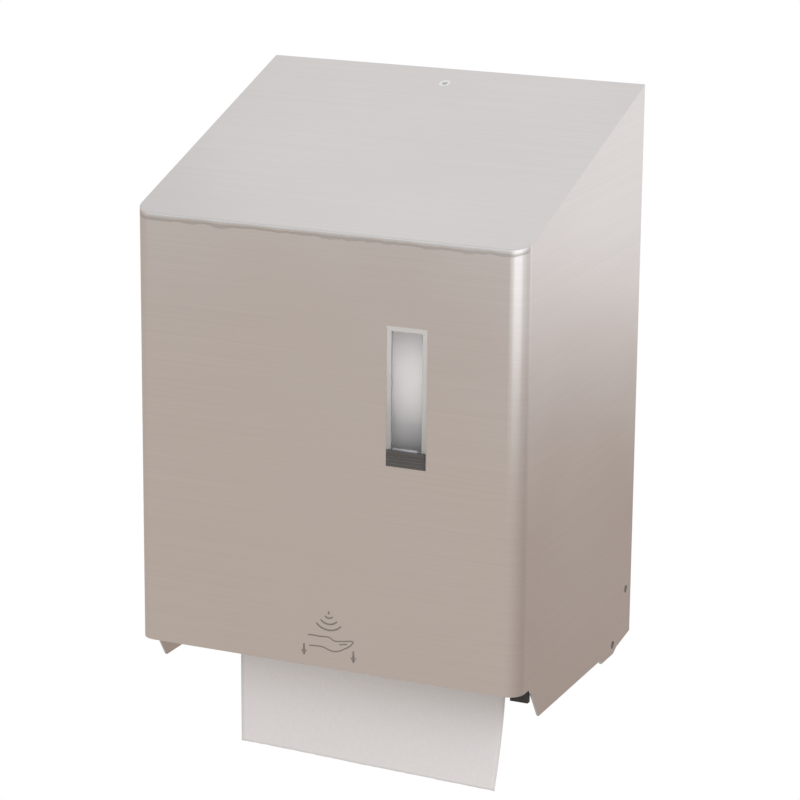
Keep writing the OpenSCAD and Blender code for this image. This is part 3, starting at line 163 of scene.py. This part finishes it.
# Towel: its free corner swings forward, and it is torn a little askew
PAPER_T = 0.3 * MM
WEB_CLEAR = 0.3 * MM
TAIL_SWING = 19 * MM
TAIL_POWER = 1.7
TAIL_SLACK = 0.7 * MM
TEAR_SKEW = 1.7 * MM
TEAR_ROUGH = 0.35 * MM
TOWEL_COLUMNS = 54
TAIL_ROWS = 40

# Roll: layers across its ends, and how far they stand back from the flat
ROLL_LAYERS = 36
ROLL_SIDES = 144
CORE_CLEAR = 0.05 * MM
LAYER_UNEVEN = 0.25 * MM
LAYER_EDGE = 0.3 * MM


# Materials

def rgba(colour, gain=1.0):
    """A colour with its alpha, made lighter or darker by the gain."""
    return tuple(c * gain for c in colour) + (1,)


class Nodes:
    """A node tree, with short ways to add nodes and to join them."""

    def __init__(self, tree):
        self.tree = tree

    def node(self, kind, **settings):
        """A new node with its settings."""
        made = self.tree.nodes.new(kind)
        for name, value in settings.items():
            setattr(made, name, value)
        return made

    def link(self, out, into):
        self.tree.links.new(out, into)

    def stretch(self, value, given, wanted=(0, 1)):
        """The value with its given range stretched to the wanted one."""
        made = self.node("ShaderNodeMapRange")
        sockets = ("From Min", "From Max", "To Min", "To Max")
        for socket, number in zip(sockets, (*given, *wanted)):
            made.inputs[socket].default_value = number
        self.link(value, made.inputs["Value"])
        return made.outputs["Result"]


class Shader(Nodes):
    """A node material on one Principled shader, with helpers for its noise fields."""

    def __init__(self, name, roughness, metallic=0.0):
        self.material = bpy.data.materials.new(name)
        self.material.use_nodes = True
        super().__init__(self.material.node_tree)
        self.bsdf = self.tree.nodes["Principled BSDF"]
        self.set(Metallic=metallic, Roughness=roughness)
        self.place = self.node("ShaderNodeTexCoord").outputs["Object"]

    def set(self, **sockets):
        """Constants on the shader's sockets, named with _ for a space."""
        for name, value in sockets.items():
            self.bsdf.inputs[name.replace("_", " ")].default_value = value

    def noise(self, scale, detail=3.0, rough=0.55):
        """Noise over the object's own coordinates, with a scale for each axis."""
        mapping = self.node("ShaderNodeMapping")
        mapping.inputs["Scale"].default_value = scale
        field = self.node("ShaderNodeTexNoise")
        field.inputs["Scale"].default_value = 1.0
        field.inputs["Detail"].default_value = detail
        field.inputs["Roughness"].default_value = rough
        self.link(self.place, mapping.inputs["Vector"])
        self.link(mapping.outputs["Vector"], field.inputs["Vector"])
        return field.outputs["Fac"]

    def colour(self, fac, colour, dark, light):
        """Base colour that follows a field from a darker to a lighter shade."""
        made = self.node("ShaderNodeValToRGB")
        for element, place, gain in zip(made.color_ramp.elements, NOISE_RANGE, (dark, light)):
            element.position = place
            element.color = rgba(colour, gain)
        self.link(fac, made.inputs["Fac"])
        self.link(made.outputs["Color"], self.bsdf.inputs["Base Color"])

    def rough(self, fac, mean, swing):
        """Roughness that follows a field, up and down from its mean by the swing."""
        value = self.stretch(fac, NOISE_RANGE, (mean - swing, mean + swing))
        self.link(value, self.bsdf.inputs["Roughness"])

    def bump(self, height, distance, strength):
        """Fine relief that follows a field."""
        made = self.node("ShaderNodeBump")
        made.inputs["Distance"].default_value = distance
        made.inputs["Strength"].default_value = strength
        self.link(height, made.inputs["Height"])
        self.link(made.outputs["Normal"], self.bsdf.inputs["Normal"])


def brushed(name, colour, grain, roughness=0.3, anisotropy=0.5, axis="Z"):
    """Brushed metal: fine streaks across the grain and a faint wide cloud."""
    s = Shader(name, metallic=1.0, roughness=roughness)
    s.set(Anisotropic=anisotropy, Anisotropic_Rotation=0.25)
    tangent = s.node("ShaderNodeTangent", direction_type="RADIAL", axis=axis)
    s.link(tangent.outputs["Tangent"], s.bsdf.inputs["Tangent"])
    streaks = s.noise(grain, detail=4.0)
    s.colour(streaks, colour, 0.97, 1.03)
    s.rough(s.noise((9, 9, 9), detail=2.0), roughness, 0.03)
    s.bump(streaks, 0.02 * MM, 0.22)
    return s.material


def turned(name, colour, roughness=0.32):
    """Turned or drawn metal with rings along x."""
    s = Shader(name, metallic=1.0, roughness=roughness)
    rings = s.noise((1400, 40, 40), detail=2.0)
    s.colour(rings, colour, 0.9, 1.08)
    s.bump(rings, 0.02 * MM, 0.5)
    return s.material


def moulded(name, colour, roughness=0.5, grain=900, depth=0.03, coat=0.0):
    """Moulded plastic: fine grain, with a slow change of shade and gloss."""
    s = Shader(name, roughness=roughness)
    s.set(Coat_Weight=coat)
    cloud = s.noise((25, 25, 25), detail=4.0)
    s.colour(cloud, colour, 0.88, 1.1)
    s.rough(cloud, roughness, 0.06)
    s.bump(s.noise((grain, grain, grain), detail=2.0), depth * MM, 0.6)
    return s.material


def translucent(name, colour, roughness=0.4):
    """Pale moulding that lets some light through."""
    s = Shader(name, roughness=roughness)
    s.set(Transmission_Weight=0.25, IOR=1.45)
    s.colour(s.noise((40, 40, 40)), colour, 0.95, 1.03)
    s.bump(s.noise((1200, 1200, 1200)), 0.02 * MM, 0.4)
    return s.material


def clear_pane(name, colour):
    """Clear pane: see-through with a gloss and faint wiping marks."""
    s = Shader(name, roughness=0.08)
    s.set(Alpha=0.05, IOR=1.45)
    smear = s.noise((60, 200, 14), detail=4.0)
    s.colour(smear, colour, 0.85, 1.1)
    s.rough(smear, 0.095, 0.045)
    return s.material


def tissue(name):
    """Soft white tissue: pressed dots, fibres and a low sheen."""
    s = Shader(name, roughness=0.9)
    s.set(Sheen_Weight=0.15)
    fibres = s.noise((700, 700, 260), detail=6.0, rough=0.7)
    s.colour(fibres, PAPER, 0.965, 1.02)
    dots = s.node("ShaderNodeTexVoronoi", feature="F1")
    dots.inputs["Scale"].default_value = 420
    dots.inputs["Randomness"].default_value = 0.25
    s.link(s.place, dots.inputs["Vector"])
    mixed = s.node("ShaderNodeMath", operation="MULTIPLY_ADD")
    mixed.inputs[1].default_value = 0.5
    s.link(fibres, mixed.inputs[0])
    s.link(dots.outputs["Distance"], mixed.inputs[2])
    s.bump(mixed.outputs["Value"], 0.12 * MM, 0.5)
    return s.material


def wound_tissue(name):
    """The roll: layers show as rings round its axis on both ends."""
    s = Shader(name, roughness=0.92)
    s.set(Sheen_Weight=0.1)
    centre = s.node("ShaderNodeMapping")
    centre.inputs["Location"].default_value = tuple(-c for c in ROLL_AXIS)
    s.link(s.place, centre.inputs["Vector"])
    rings = s.node("ShaderNodeTexWave", wave_type="RINGS", rings_direction="X")
    rings.inputs["Scale"].default_value = 170
    rings.inputs["Distortion"].default_value = 1.2
    rings.inputs["Detail"].default_value = 2.0
    s.link(centre.outputs["Vector"], rings.inputs["Vector"])
    s.colour(rings.outputs["Fac"], PAPER, 0.9, 1.03)
    s.bump(rings.outputs["Fac"], 0.1 * MM, 0.5)
    return s.material


def cardboard(name, colour):
    """Wound board with long fibres."""
    s = Shader(name, roughness=0.85)
    fibres = s.noise((60, 400, 400), detail=6.0, rough=0.7)
    s.colour(fibres, colour, 0.8, 1.12)
    s.bump(fibres, 0.05 * MM, 0.6)
    return s.material


def solder_mask(name, colour):
    """Green board with fine tracks."""
    s = Shader(name, roughness=0.35)
    tracks = s.node("ShaderNodeTexBrick")
    tracks.inputs["Scale"].default_value = 160
    tracks.inputs["Mortar Size"].default_value = 0.06
    tracks.inputs["Color1"].default_value = rgba(colour, 0.85)
    tracks.inputs["Color2"].default_value = rgba(colour)
    tracks.inputs["Mortar"].default_value = rgba(colour, 1.9)
    s.link(s.place, tracks.inputs["Vector"])
    s.link(tracks.outputs["Color"], s.bsdf.inputs["Base Color"])
    s.bump(tracks.outputs["Fac"], 0.03 * MM, 0.4)
    return s.material


def cell_wrap(name, colour):
    """Plain foil wrap of a cell."""
    s = Shader(name, metallic=0.6, roughness=0.35)
    cloud = s.noise((30, 300, 300))
    s.colour(cloud, colour, 0.8, 1.1)
    s.bump(cloud, 0.02 * MM, 0.4)
    return s.material


# One material for each slot of the record
MATERIALS = {
    # Pin steel far darker than steel: painted shade for the shadowed pin holes in the hood's sides
    "pin_steel": turned("pin_steel", (0.2, 0.19, 0.185)),
    "screw_steel": turned("screw_steel", (0.55, 0.55, 0.56), 0.38),
    "spring_steel": turned("spring_steel", (0.5, 0.5, 0.51), 0.3),
    "blade_steel": brushed("blade_steel", (0.72, 0.72, 0.72), (20, 900, 900), 0.25, 0.4, "X"),
    "contact_metal": turned("contact_metal", (0.78, 0.77, 0.74), 0.22),
    "motor_can": turned("motor_can", (0.5, 0.5, 0.51), 0.3),
    "brass": turned("brass", (0.72, 0.56, 0.25), 0.28),
    "black_plastic": moulded("black_plastic", (0.026, 0.026, 0.028), 0.5),
    "clip_plastic": moulded("clip_plastic", (0.075, 0.068, 0.066), 0.22, 1200, 0.01, 0.4),
    "sensor_plastic": moulded("sensor_plastic", (0.022, 0.022, 0.026), 0.25, 1200, 0.01, 0.3),
    "lens_plastic": moulded("lens_plastic", (0.06, 0.012, 0.025), 0.12, 1200, 0.005, 0.6),
    "clear_plastic": clear_pane("clear_plastic", (0.45, 0.44, 0.44)),
    "frost_plastic": translucent("frost_plastic", (0.47, 0.44, 0.418)),
    "white_plastic": moulded("white_plastic", (0.80, 0.79, 0.76), 0.45, 800, 0.02),
    "grey_plastic": moulded("grey_plastic", (0.58, 0.57, 0.53), 0.4, 800, 0.02),
    "button_plastic": moulded("button_plastic", (0.48, 0.47, 0.45), 0.45, 800, 0.02),
    "rubber": moulded("rubber", (0.04, 0.04, 0.042), 0.8, 600, 0.06),
    "board_green": solder_mask("board_green", (0.03, 0.13, 0.06)),
    "board_parts": moulded("board_parts", (0.04, 0.04, 0.043), 0.4, 1200, 0.01),
    "cell_wrap": cell_wrap("cell_wrap", (0.42, 0.2, 0.05)),
    "paper": tissue("paper"),
    "cardboard": cardboard("cardboard", (0.42, 0.3, 0.18)),
    "stainless": brushed("stainless", STEEL, (4, 4, 1100)),
}

# Materials of single nodes and of the scene's own pieces
TOP_STEEL = brushed("stainless_top", STEEL, (4, 1100, 1100), axis="X")
WELD_STEEL = brushed("weld_steel", STEEL, (700, 700, 700), 0.34, 0.0)
# Darker steel for the band below the weld's crest: painted shade under the bead
WELD_PAINTED_SHADE = brushed("weld_painted_shade", (0.48, 0.468, 0.458), (500, 500, 500), 0.4, 0.0)
# Light grey on the pane's lower edge: a painted highlight above the dark clip
LIP_PAINTED_HIGHLIGHT = moulded("pane_lip", (0.36, 0.35, 0.36), 0.15, 900, 0.01, 0.6)
BUSH_WHITE = moulded("bush_white", (0.9, 0.89, 0.88), 0.35, 900, 0.01, 0.2)
PRINT_INK = moulded("print_ink", PRINT, 0.6, 700, 0.01)
ROLL_PAPER = wound_tissue("roll_paper")


def dress_nodes():
    """Every CAD node gets the material of its slot in the record, but the top and the bush their own."""
    slots = {s["node"]: s["material_slot"] for s in frame["record"]["subparts"]}
    for name, obj in frame["nodes"].items():
        obj.data.materials.clear()
        obj.data.materials.append(MATERIALS[slots[name]])
    frame["nodes"]["hood_top"].data.materials[0] = TOP_STEEL
    frame["nodes"]["key_bush"].data.materials[0] = BUSH_WHITE


# Meshes

def piece(name, points, faces, material, body):
    """A mesh piece that rides on a body, with the material it is given."""
    mesh = bpy.data.meshes.new(name)
    mesh.from_pydata([tuple(p) for p in points], [], faces)
    work = bmesh.new()
    work.from_mesh(mesh)
    bmesh.ops.recalc_face_normals(work, faces=work.faces)
    work.to_mesh(mesh)
    work.free()
    mesh.materials.append(material)
    mesh.shade_smooth()
    obj = bpy.data.objects.new(name, mesh)
    bpy.context.scene.collection.objects.link(obj)
    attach(obj, body)
    return obj


def ring_faces(rings, sides, closed=False):
    """Quads between closed rings of points, and from the last ring to the first where closed."""
    faces = []
    for r in range(rings if closed else rings - 1):
        after = (r + 1) % rings
        for k in range(sides):
            m = (k + 1) % sides
            faces.append((r * sides + k, r * sides + m, after * sides + m, after * sides + k))
    return faces


def bar(rings):
    """Points and faces of a solid through rings of points, its two flat ends last."""
    sides = len(rings[0])
    points = [p for ring in rings for p in ring]
    ends = [tuple(range(sides)), tuple(range(len(points) - sides, len(points)))]
    return points, ring_faces(len(rings), sides) + ends


def grid_faces(rows, columns, start=0, flip=False):
    """Quads of a grid of points, turned over where flipped."""
    faces = []
    for j in range(rows - 1):
        for i in range(columns - 1):
            a = start + j * columns + i
            quad = (a, a + 1, a + columns + 1, a + columns)
            faces.append(quad[::-1] if flip else quad)
    return faces


def closed_sheet(front, back, rows, columns):
    """Points and faces of a thin closed sheet from two grids of points."""
    n = rows * columns
    faces = grid_faces(rows, columns) + grid_faces(rows, columns, n, flip=True)
    rim = list(range(columns))
    rim += [j * columns + columns - 1 for j in range(1, rows)]
    rim += [n - 1 - i for i in range(1, columns)]
    rim += [j * columns for j in range(rows - 2, 0, -1)]
    for a, b in zip(rim, rim[1:] + rim[:1]):
        faces.append((b, a, a + n, b + n))
    return front + back, faces


def wander(place, row):
    """Smooth noise along a line; each row is a line of its own."""
    return noise.noise(Vector((place, row, 0)))


# Weld

def top_edge(x):
    """Point of the hood's upper front edge at x, round both bends."""
    over = max(0, abs(x) - (HALF_W - BEND_R))
    angle = math.asin(min(1, over / BEND_R))
    y = FRONT_Y + BEND_R * (1 - math.cos(angle))
    return Vector((x, y, FRONT_TOP + TOP_SLOPE * (y - FRONT_Y)))


def edge_frame(x):
    """Point of the upper front edge at x, with the directions out of the front and along the top."""
    step = 0.01 * MM
    along = (top_edge(x + step) - top_edge(x - step)).normalized()
    out = along.cross(UP).normalized()
    inward = Vector((-out.x, -out.y, 0))
    back = (inward + UP * TOP_SLOPE * inward.y).normalized()
    return top_edge(x), out, back


def weld_ring(x):
    """Section of the weld at x: over the edge, down the bead to its crest, and on into the sheet."""
    wave, patch, ripple = wander(45 * x, 3.1), wander(90 * x, 5.3), wander(260 * x, 7.7)
    fade = min(1, (HALF_W - abs(x)) / BEND_R)
    crest = 2.7 + 0.7 * wave + 0.35 * ripple
    band = 2.4 + 1.3 * patch + 0.3 * ripple
    proud = 0.07 + fade * (0.13 + 0.06 * wave)
    section = (  # out of the front, back along the top, and up, in millimetres
        (0, 1.6, -0.12),
        (0, 1.0, 0.03),
        (0, 0.3, 0.02),
        (0.08, 0, -0.3),
        (0.65 * proud, 0, -0.5 * crest),
        (proud, 0, -crest),
        (-0.02, 0, -crest - band),
        (-0.25, 0, -crest - 2 * band),
        (-0.3, 0, -0.6),
    )
    here, out, back = edge_frame(x)
    return [here + (out * o + back * b + UP * u) * MM for o, b, u in section]


def weld_seam():
    """Ground weld along the upper front edge, as left by hand, with an uneven band at its foot in darker
    steel: painted shade under the crest.
    """
    reach = HALF_W - WELD_END
    count = int(2 * reach / WELD_STEP)
    rings = [weld_ring(-reach + 2 * reach * k / count) for k in range(count + 1)]
    points, faces = bar(rings)
    obj = piece("weld_seam", points, faces, WELD_STEEL, "hood")
    obj.data.materials.append(WELD_PAINTED_SHADE)
    # The face below the crest takes the darker steel, a painted shade
    for face in obj.data.polygons[:-2]:
        face.material_index = int(face.index % len(rings[0]) == WELD_SHADE_FACE)


# Window

def pane_lip():
    """Lower edge of the pane, a small ledge above the clip, in a light grey that is a painted highlight
    along it.
    """
    low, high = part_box("window_pane")
    clip_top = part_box("window_clip")[1][2]
    x0, x1 = low[0] + 3.4 * MM, high[0] - 4.4 * MM
    y0, y1 = low[1] - 1.6 * MM, low[1] + 0.2 * MM
    z0, z1 = clip_top - 0.4 * MM, clip_top + 1.7 * MM
    slant = 0.5 * MM
    section = ((y0, z0), (y1, z0), (y1, z1), (y0 + slant, z1))
    points, faces = bar([[(x, y, z) for y, z in section] for x in (x0, x1)])
    piece("pane_lip", points, faces, LIP_PAINTED_HIGHLIGHT, "hood")


# Sign, drawn in millimetres of x and z

def stroke(line, width):
    """Quads of a flat stroke along a line."""
    rims = []
    for k, p in enumerate(line):
        along = (Vector(line[min(k + 1, len(line) - 1)]) - Vector(line[max(k - 1, 0)])).normalized()
        side = Vector((-along.y, along.x)) * width / 2
        rims.append((Vector(p) + side, Vector(p) - side))
    return [(a[0], a[1], b[1], b[0]) for a, b in zip(rims, rims[1:])]


def smooth(line, passes=2):
    """Rounds the corners of a line and keeps its ends."""
    for _ in range(passes):
        cut = [line[0]]
        for a, b in zip(line, line[1:]):
            a, b = Vector(a), Vector(b)
            cut += [a.lerp(b, 0.25), a.lerp(b, 0.75)]
        line = cut + [line[-1]]
    return line


def arc(centre, radius, start, end, steps=12):
    """Line along a circle, from one angle to another in degrees."""
    angles = [math.radians(start + (end - start) * k / steps) for k in range(steps + 1)]
    return [(centre[0] + radius * math.cos(a), centre[1] + radius * math.sin(a)) for a in angles]


def hand_line():
    """A plain open hand from the left, its palm up."""
    upper = [(-12.6, 23.2), (-8, 23.5), (-3.5, 23.2), (1, 23.6), (4.4, 23.7), (6.6, 22.3), (8.5, 21.2)]
    fingers = [(13, 21.8), (22, 23.4), (23.6, 22.8), (21, 19.4), (17, 16.9), (12.6, 14.4)]
    lower = [(8.8, 13.4), (5.5, 13.6), (1.7, 14.9), (-1.6, 15.9), (-6.6, 15.6), (-11.5, 15.2)]
    return smooth(upper + fingers + lower)


def arrow(x, z):
    """Quads of a filled arrow that points down, its tip at x and z."""
    stem, head, wing, tall = 0.75, 4.2, 2.4, 9
    return [
        ((x - stem, z + tall), (x + stem, z + tall), (x + stem, z + head), (x - stem, z + head)),
        ((x - wing, z + head), (x, z + head), (x, z), (x, z)),
        ((x, z + head), (x + wing, z + head), (x, z), (x, z)),
    ]


def sign_quads():
    """A source, three waves, a hand with the gap of its thumb, and two arrows."""
    thin, wave_w, mark_w = 0.95, 1.25, 1.4
    source = (3.9, 42.2)
    x, z = source
    quads = stroke([(x, z + 0.9), (x, z - 1.3)], mark_w)
    for radius in (4.2, 8.8, 13.3):
        quads += stroke(arc(source, radius, 223, 317), wave_w)
    quads += stroke(hand_line(), thin) + stroke([(12.4, 19.2), (15.5, 20), (18.5, 20.3)], thin)
    return quads + arrow(-15.6, 7.2) + arrow(23.4, 6.8)


def pictogram():
    """Sign for a hand held under the sensor, printed on the front."""
    depths = (FRONT_Y - INK_T / 2, FRONT_Y + INK_T / 2)
    points, faces = [], []
    for quad in sign_quads():
        corners = list(dict.fromkeys(tuple(c) for c in quad))
        rings = [[(x * MM, y, z * MM) for x, z in corners] for y in depths]
        bar_points, bar_faces = bar(rings)
        faces += [tuple(len(points) + k for k in face) for face in bar_faces]
        points += bar_points
    piece("pictogram", points, faces, PRINT_INK, "hood")


# Paper

def web_line():
    """Line of the towel in y and z: off the roll, over the drive roller and down to the slot."""
    run_steps, turn_steps, drop_steps = 20, 12, 6
    roll_r = ROLL_R + WEB_CLEAR + PAPER_T / 2
    drive_r = DRIVE_R + WEB_CLEAR + PAPER_T / 2
    span = DRIVE_AXIS.yz - ROLL_AXIS.yz
    lean = math.acos(-(roll_r + drive_r) / span.length)
    normal = math.atan2(span.y, span.x) - lean + 2 * math.pi

    def on_circle(axis, radius, angle):
        return Vector((axis.y + radius * math.cos(angle), axis.z + radius * math.sin(angle)))

    start = on_circle(ROLL_AXIS, roll_r, normal + math.pi)
    angles = [normal + (math.pi - normal) * k / turn_steps for k in range(turn_steps + 1)]
    turn = [on_circle(DRIVE_AXIS, drive_r, a) for a in angles]
    slot = Vector((turn[-1].x, 0))
    run = [start.lerp(turn[0], k / run_steps) for k in range(run_steps)]
    drop = [turn[-1].lerp(slot, k / drop_steps) for k in range(1, drop_steps + 1)]
    return run + turn + drop


def web_normal(web, j):
    """Direction out of the towel's outer face at row j, straight forward from the slot down."""
    if j >= len(web) - 1:
        return Vector((0, -1, 0))
    along = web[j + 1] - web[j]
    return Vector((0, along.y, -along.x)).normalized()


def tail_point(x, u, v, slot_y):
    """Point of the tail, u across and v down: where it swings forward it rises, as its length stays."""
    length = -TAIL_LOW.z
    reach = TAIL_SWING * u ** 1.5
    swing = reach * v ** TAIL_POWER
    order = 2 * TAIL_POWER - 1
    rise = (TAIL_POWER * reach) ** 2 * v ** order / (2 * length * order) + TEAR_SKEW * u * v
    slack = TAIL_SLACK * math.sin(7 * u + 1.3) * v ** 1.5
    torn = TEAR_ROUGH * wander(900 * x, 1.7) if v == 1 else 0
    return Vector((x, slot_y - swing + slack * (1 - u), rise - length * v + torn))


def towel():
    """One towel from the roll to its torn edge."""
    width = TAIL_HIGH.x - TAIL_LOW.x
    web = web_line()
    rows = len(web) + TAIL_ROWS
    outer, inner = [], []
    for j in range(rows):
        half = web_normal(web, j) * PAPER_T / 2
        for i in range(TOWEL_COLUMNS):
            u = i / (TOWEL_COLUMNS - 1)
            x = TAIL_LOW.x + width * u
            if j < len(web):
                centre = Vector((x, *web[j]))
            else:
                centre = tail_point(x, u, (j - len(web) + 1) / TAIL_ROWS, web[-1].x)
            outer.append(centre + half)
            inner.append(centre - half)
    points, faces = closed_sheet(outer, inner, rows, TOWEL_COLUMNS)
    obj = piece("towel", points, faces, MATERIALS["paper"], "chassis")
    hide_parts("paper_web", "paper_tail")


def layer_depth(k, row):
    """How far layer k of the roll stands back from its flat end."""
    if k in (0, ROLL_LAYERS):
        return LAYER_EDGE
    return LAYER_UNEVEN * (1 + wander(0.9 * k, row))


def wound_roll():
    """The roll with its layers a little uneven on both ends."""
    low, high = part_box("paper_roll")
    core_r = half_size("roll_core", 2) + CORE_CLEAR
    radii = [core_r + (ROLL_R - core_r) * k / ROLL_LAYERS for k in range(ROLL_LAYERS + 1)]
    left = [(low[0] + layer_depth(k, 4.2), r) for k, r in enumerate(radii)]
    right = [(high[0] - layer_depth(k, 9.6), r) for k, r in enumerate(radii)]
    profile = left + right[::-1]
    points = []
    for s in range(ROLL_SIDES):
        a = 2 * math.pi * s / ROLL_SIDES
        points += [(x, ROLL_AXIS.y + r * math.cos(a), ROLL_AXIS.z + r * math.sin(a)) for x, r in profile]
    faces = ring_faces(ROLL_SIDES, len(profile), closed=True)
    obj = piece("wound_roll", points, faces, ROLL_PAPER, "roll")
    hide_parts("paper_roll")


# Stage

def camera():
    """The photograph's camera, with its roll and its frame off the centre."""
    a, e, r = CAMERA_AZIMUTH, CAMERA_ELEVATION, CAMERA_ROLL
    forward = Vector((-math.sin(a) * math.cos(e), math.cos(a) * math.cos(e), -math.sin(e)))
    right = Vector((math.cos(a), math.sin(a), 0))
    up = right.cross(forward)
    right, up = right * math.cos(r) + up * math.sin(r), up * math.cos(r) - right * math.sin(r)
    data = bpy.data.cameras.new("camera")
    data.sensor_width = SENSOR_MM
    data.lens = SENSOR_MM * FOCAL_PX / FRAME_PX
    data.shift_x = (FRAME_PX / 2 - CENTRE_PX[0]) / FRAME_PX
    data.shift_y = -(FRAME_PX / 2 - CENTRE_PX[1]) / FRAME_PX
    obj = bpy.data.objects.new("camera", data)
    turn = Matrix((right, up, -forward)).transposed().to_4x4()
    obj.matrix_world = Matrix.Translation(CAMERA_TARGET - forward * CAMERA_DISTANCE) @ turn
    bpy.context.scene.collection.objects.link(obj)
    bpy.context.scene.camera = obj


def lamp(name, kind, place, target, **settings):
    """A lamp that faces the target and that the camera doesn't see."""
    data = bpy.data.lights.new(name, kind)
    for key, value in settings.items():
        setattr(data, key, value)
    obj = bpy.data.objects.new(name, data)
    obj.location = place
    obj.rotation_euler = (Vector(target) - Vector(place)).to_track_quat("-Z", "Y").to_euler()
    obj.visible_camera = False
    bpy.context.scene.collection.objects.link(obj)
    return obj


def lights():
    """The soft boxes, and the lamp that reaches the roll through the window from below."""
    for name, (place, target, (wide, tall), radiance, colour) in SOFTBOXES.items():
        energy = radiance * math.pi * wide * tall
        lamp(name, "AREA", place, target, shape="RECTANGLE", size=wide, size_y=tall,
             energy=energy, color=colour)
    target = middle("window_pane") + WINDOW_AIM
    spot = lamp("window_lamp", "SPOT", WINDOW_LAMP, target, spot_size=WINDOW_CONE, spot_blend=1.0,
                shadow_soft_size=WINDOW_LAMP_R, energy=WINDOW_POWER)
    spot.visible_glossy = False


def room_colour(nodes):
    """The room that shows in gloss: a lighter and a darker side, and pale above."""
    place = nodes.node("ShaderNodeTexCoord").outputs["Generated"]
    side = nodes.node("ShaderNodeVectorMath", operation="DOT_PRODUCT")
    side.inputs[1].default_value = ROOM_DARK_SIDE
    nodes.link(place, side.inputs[0])
    axes = nodes.node("ShaderNodeSeparateXYZ")
    nodes.link(place, axes.inputs["Vector"])
    around = nodes.node("ShaderNodeMix", data_type="RGBA")
    around.inputs[MIX_A].default_value = rgba(ROOM_LIGHT)
    around.inputs[MIX_B].default_value = rgba(ROOM_DARK)
    nodes.link(nodes.stretch(side.outputs["Value"], ROOM_SIDE_RANGE), around.inputs["Factor"])
    room = nodes.node("ShaderNodeMix", data_type="RGBA")
    nodes.link(around.outputs[MIX_RESULT], room.inputs[MIX_A])
    room.inputs[MIX_B].default_value = rgba(ROOM_TOP)
    nodes.link(nodes.stretch(axes.outputs["Z"], ROOM_RISE_RANGE), room.inputs["Factor"])
    return room.outputs[MIX_RESULT]


def world():
    """White for the camera and through glass, a soft studio in gloss, and dimmer as a light."""
    made = bpy.data.worlds.new("studio")
    made.use_nodes = True
    bpy.context.scene.world = made
    made.node_tree.nodes.clear()
    nodes = Nodes(made.node_tree)

    light = nodes.node("ShaderNodeBackground")
    light.inputs["Color"].default_value = rgba(WORLD_COLOUR)
    light.inputs["Strength"].default_value = WORLD_DIFFUSE
    gloss = nodes.node("ShaderNodeBackground")
    nodes.link(room_colour(nodes), gloss.inputs["Color"])
    white = nodes.node("ShaderNodeBackground")
    white.inputs["Color"].default_value = rgba(WHITE)

    path = nodes.node("ShaderNodeLightPath")
    seen = nodes.node("ShaderNodeMath", operation="MAXIMUM")
    nodes.link(path.outputs["Is Camera Ray"], seen.inputs[0])
    nodes.link(path.outputs["Is Transmission Ray"], seen.inputs[1])

    def choose(fac, off, on):
        mix = nodes.node("ShaderNodeMixShader")
        for out, into in zip((fac, off, on), mix.inputs):
            nodes.link(out, into)
        return mix.outputs["Shader"]

    lit = choose(path.outputs["Is Glossy Ray"], light.outputs["Background"], gloss.outputs["Background"])
    shown = choose(seen.outputs["Value"], lit, white.outputs["Background"])
    nodes.link(shown, nodes.node("ShaderNodeOutputWorld").inputs["Surface"])


def floor():
    """Pale floor, which fades into the background at its rim."""
    s = Shader("floor", roughness=0.7)
    s.colour(s.noise((6, 6, 6)), FLOOR_GREY, 0.99, 1.01)
    reach = s.node("ShaderNodeVectorMath", operation="LENGTH")
    s.link(s.place, reach.inputs[0])
    fade = s.stretch(reach.outputs["Value"], (FLOOR_FADE * FLOOR_R, FLOOR_R), (1, 0))
    s.link(fade, s.bsdf.inputs["Alpha"])
    place = (0, 0, FLOOR_Z)
    bpy.ops.mesh.primitive_circle_add(vertices=96, radius=FLOOR_R, fill_type="NGON", location=place)
    obj = bpy.context.object
    obj.name = "floor"
    obj.data.materials.append(s.material)


dress_nodes()
weld_seam()
pane_lip()
pictogram()
towel()
wound_roll()
camera()
lights()
world()
floor()
bpy.context.scene.view_settings.view_transform = "Standard"
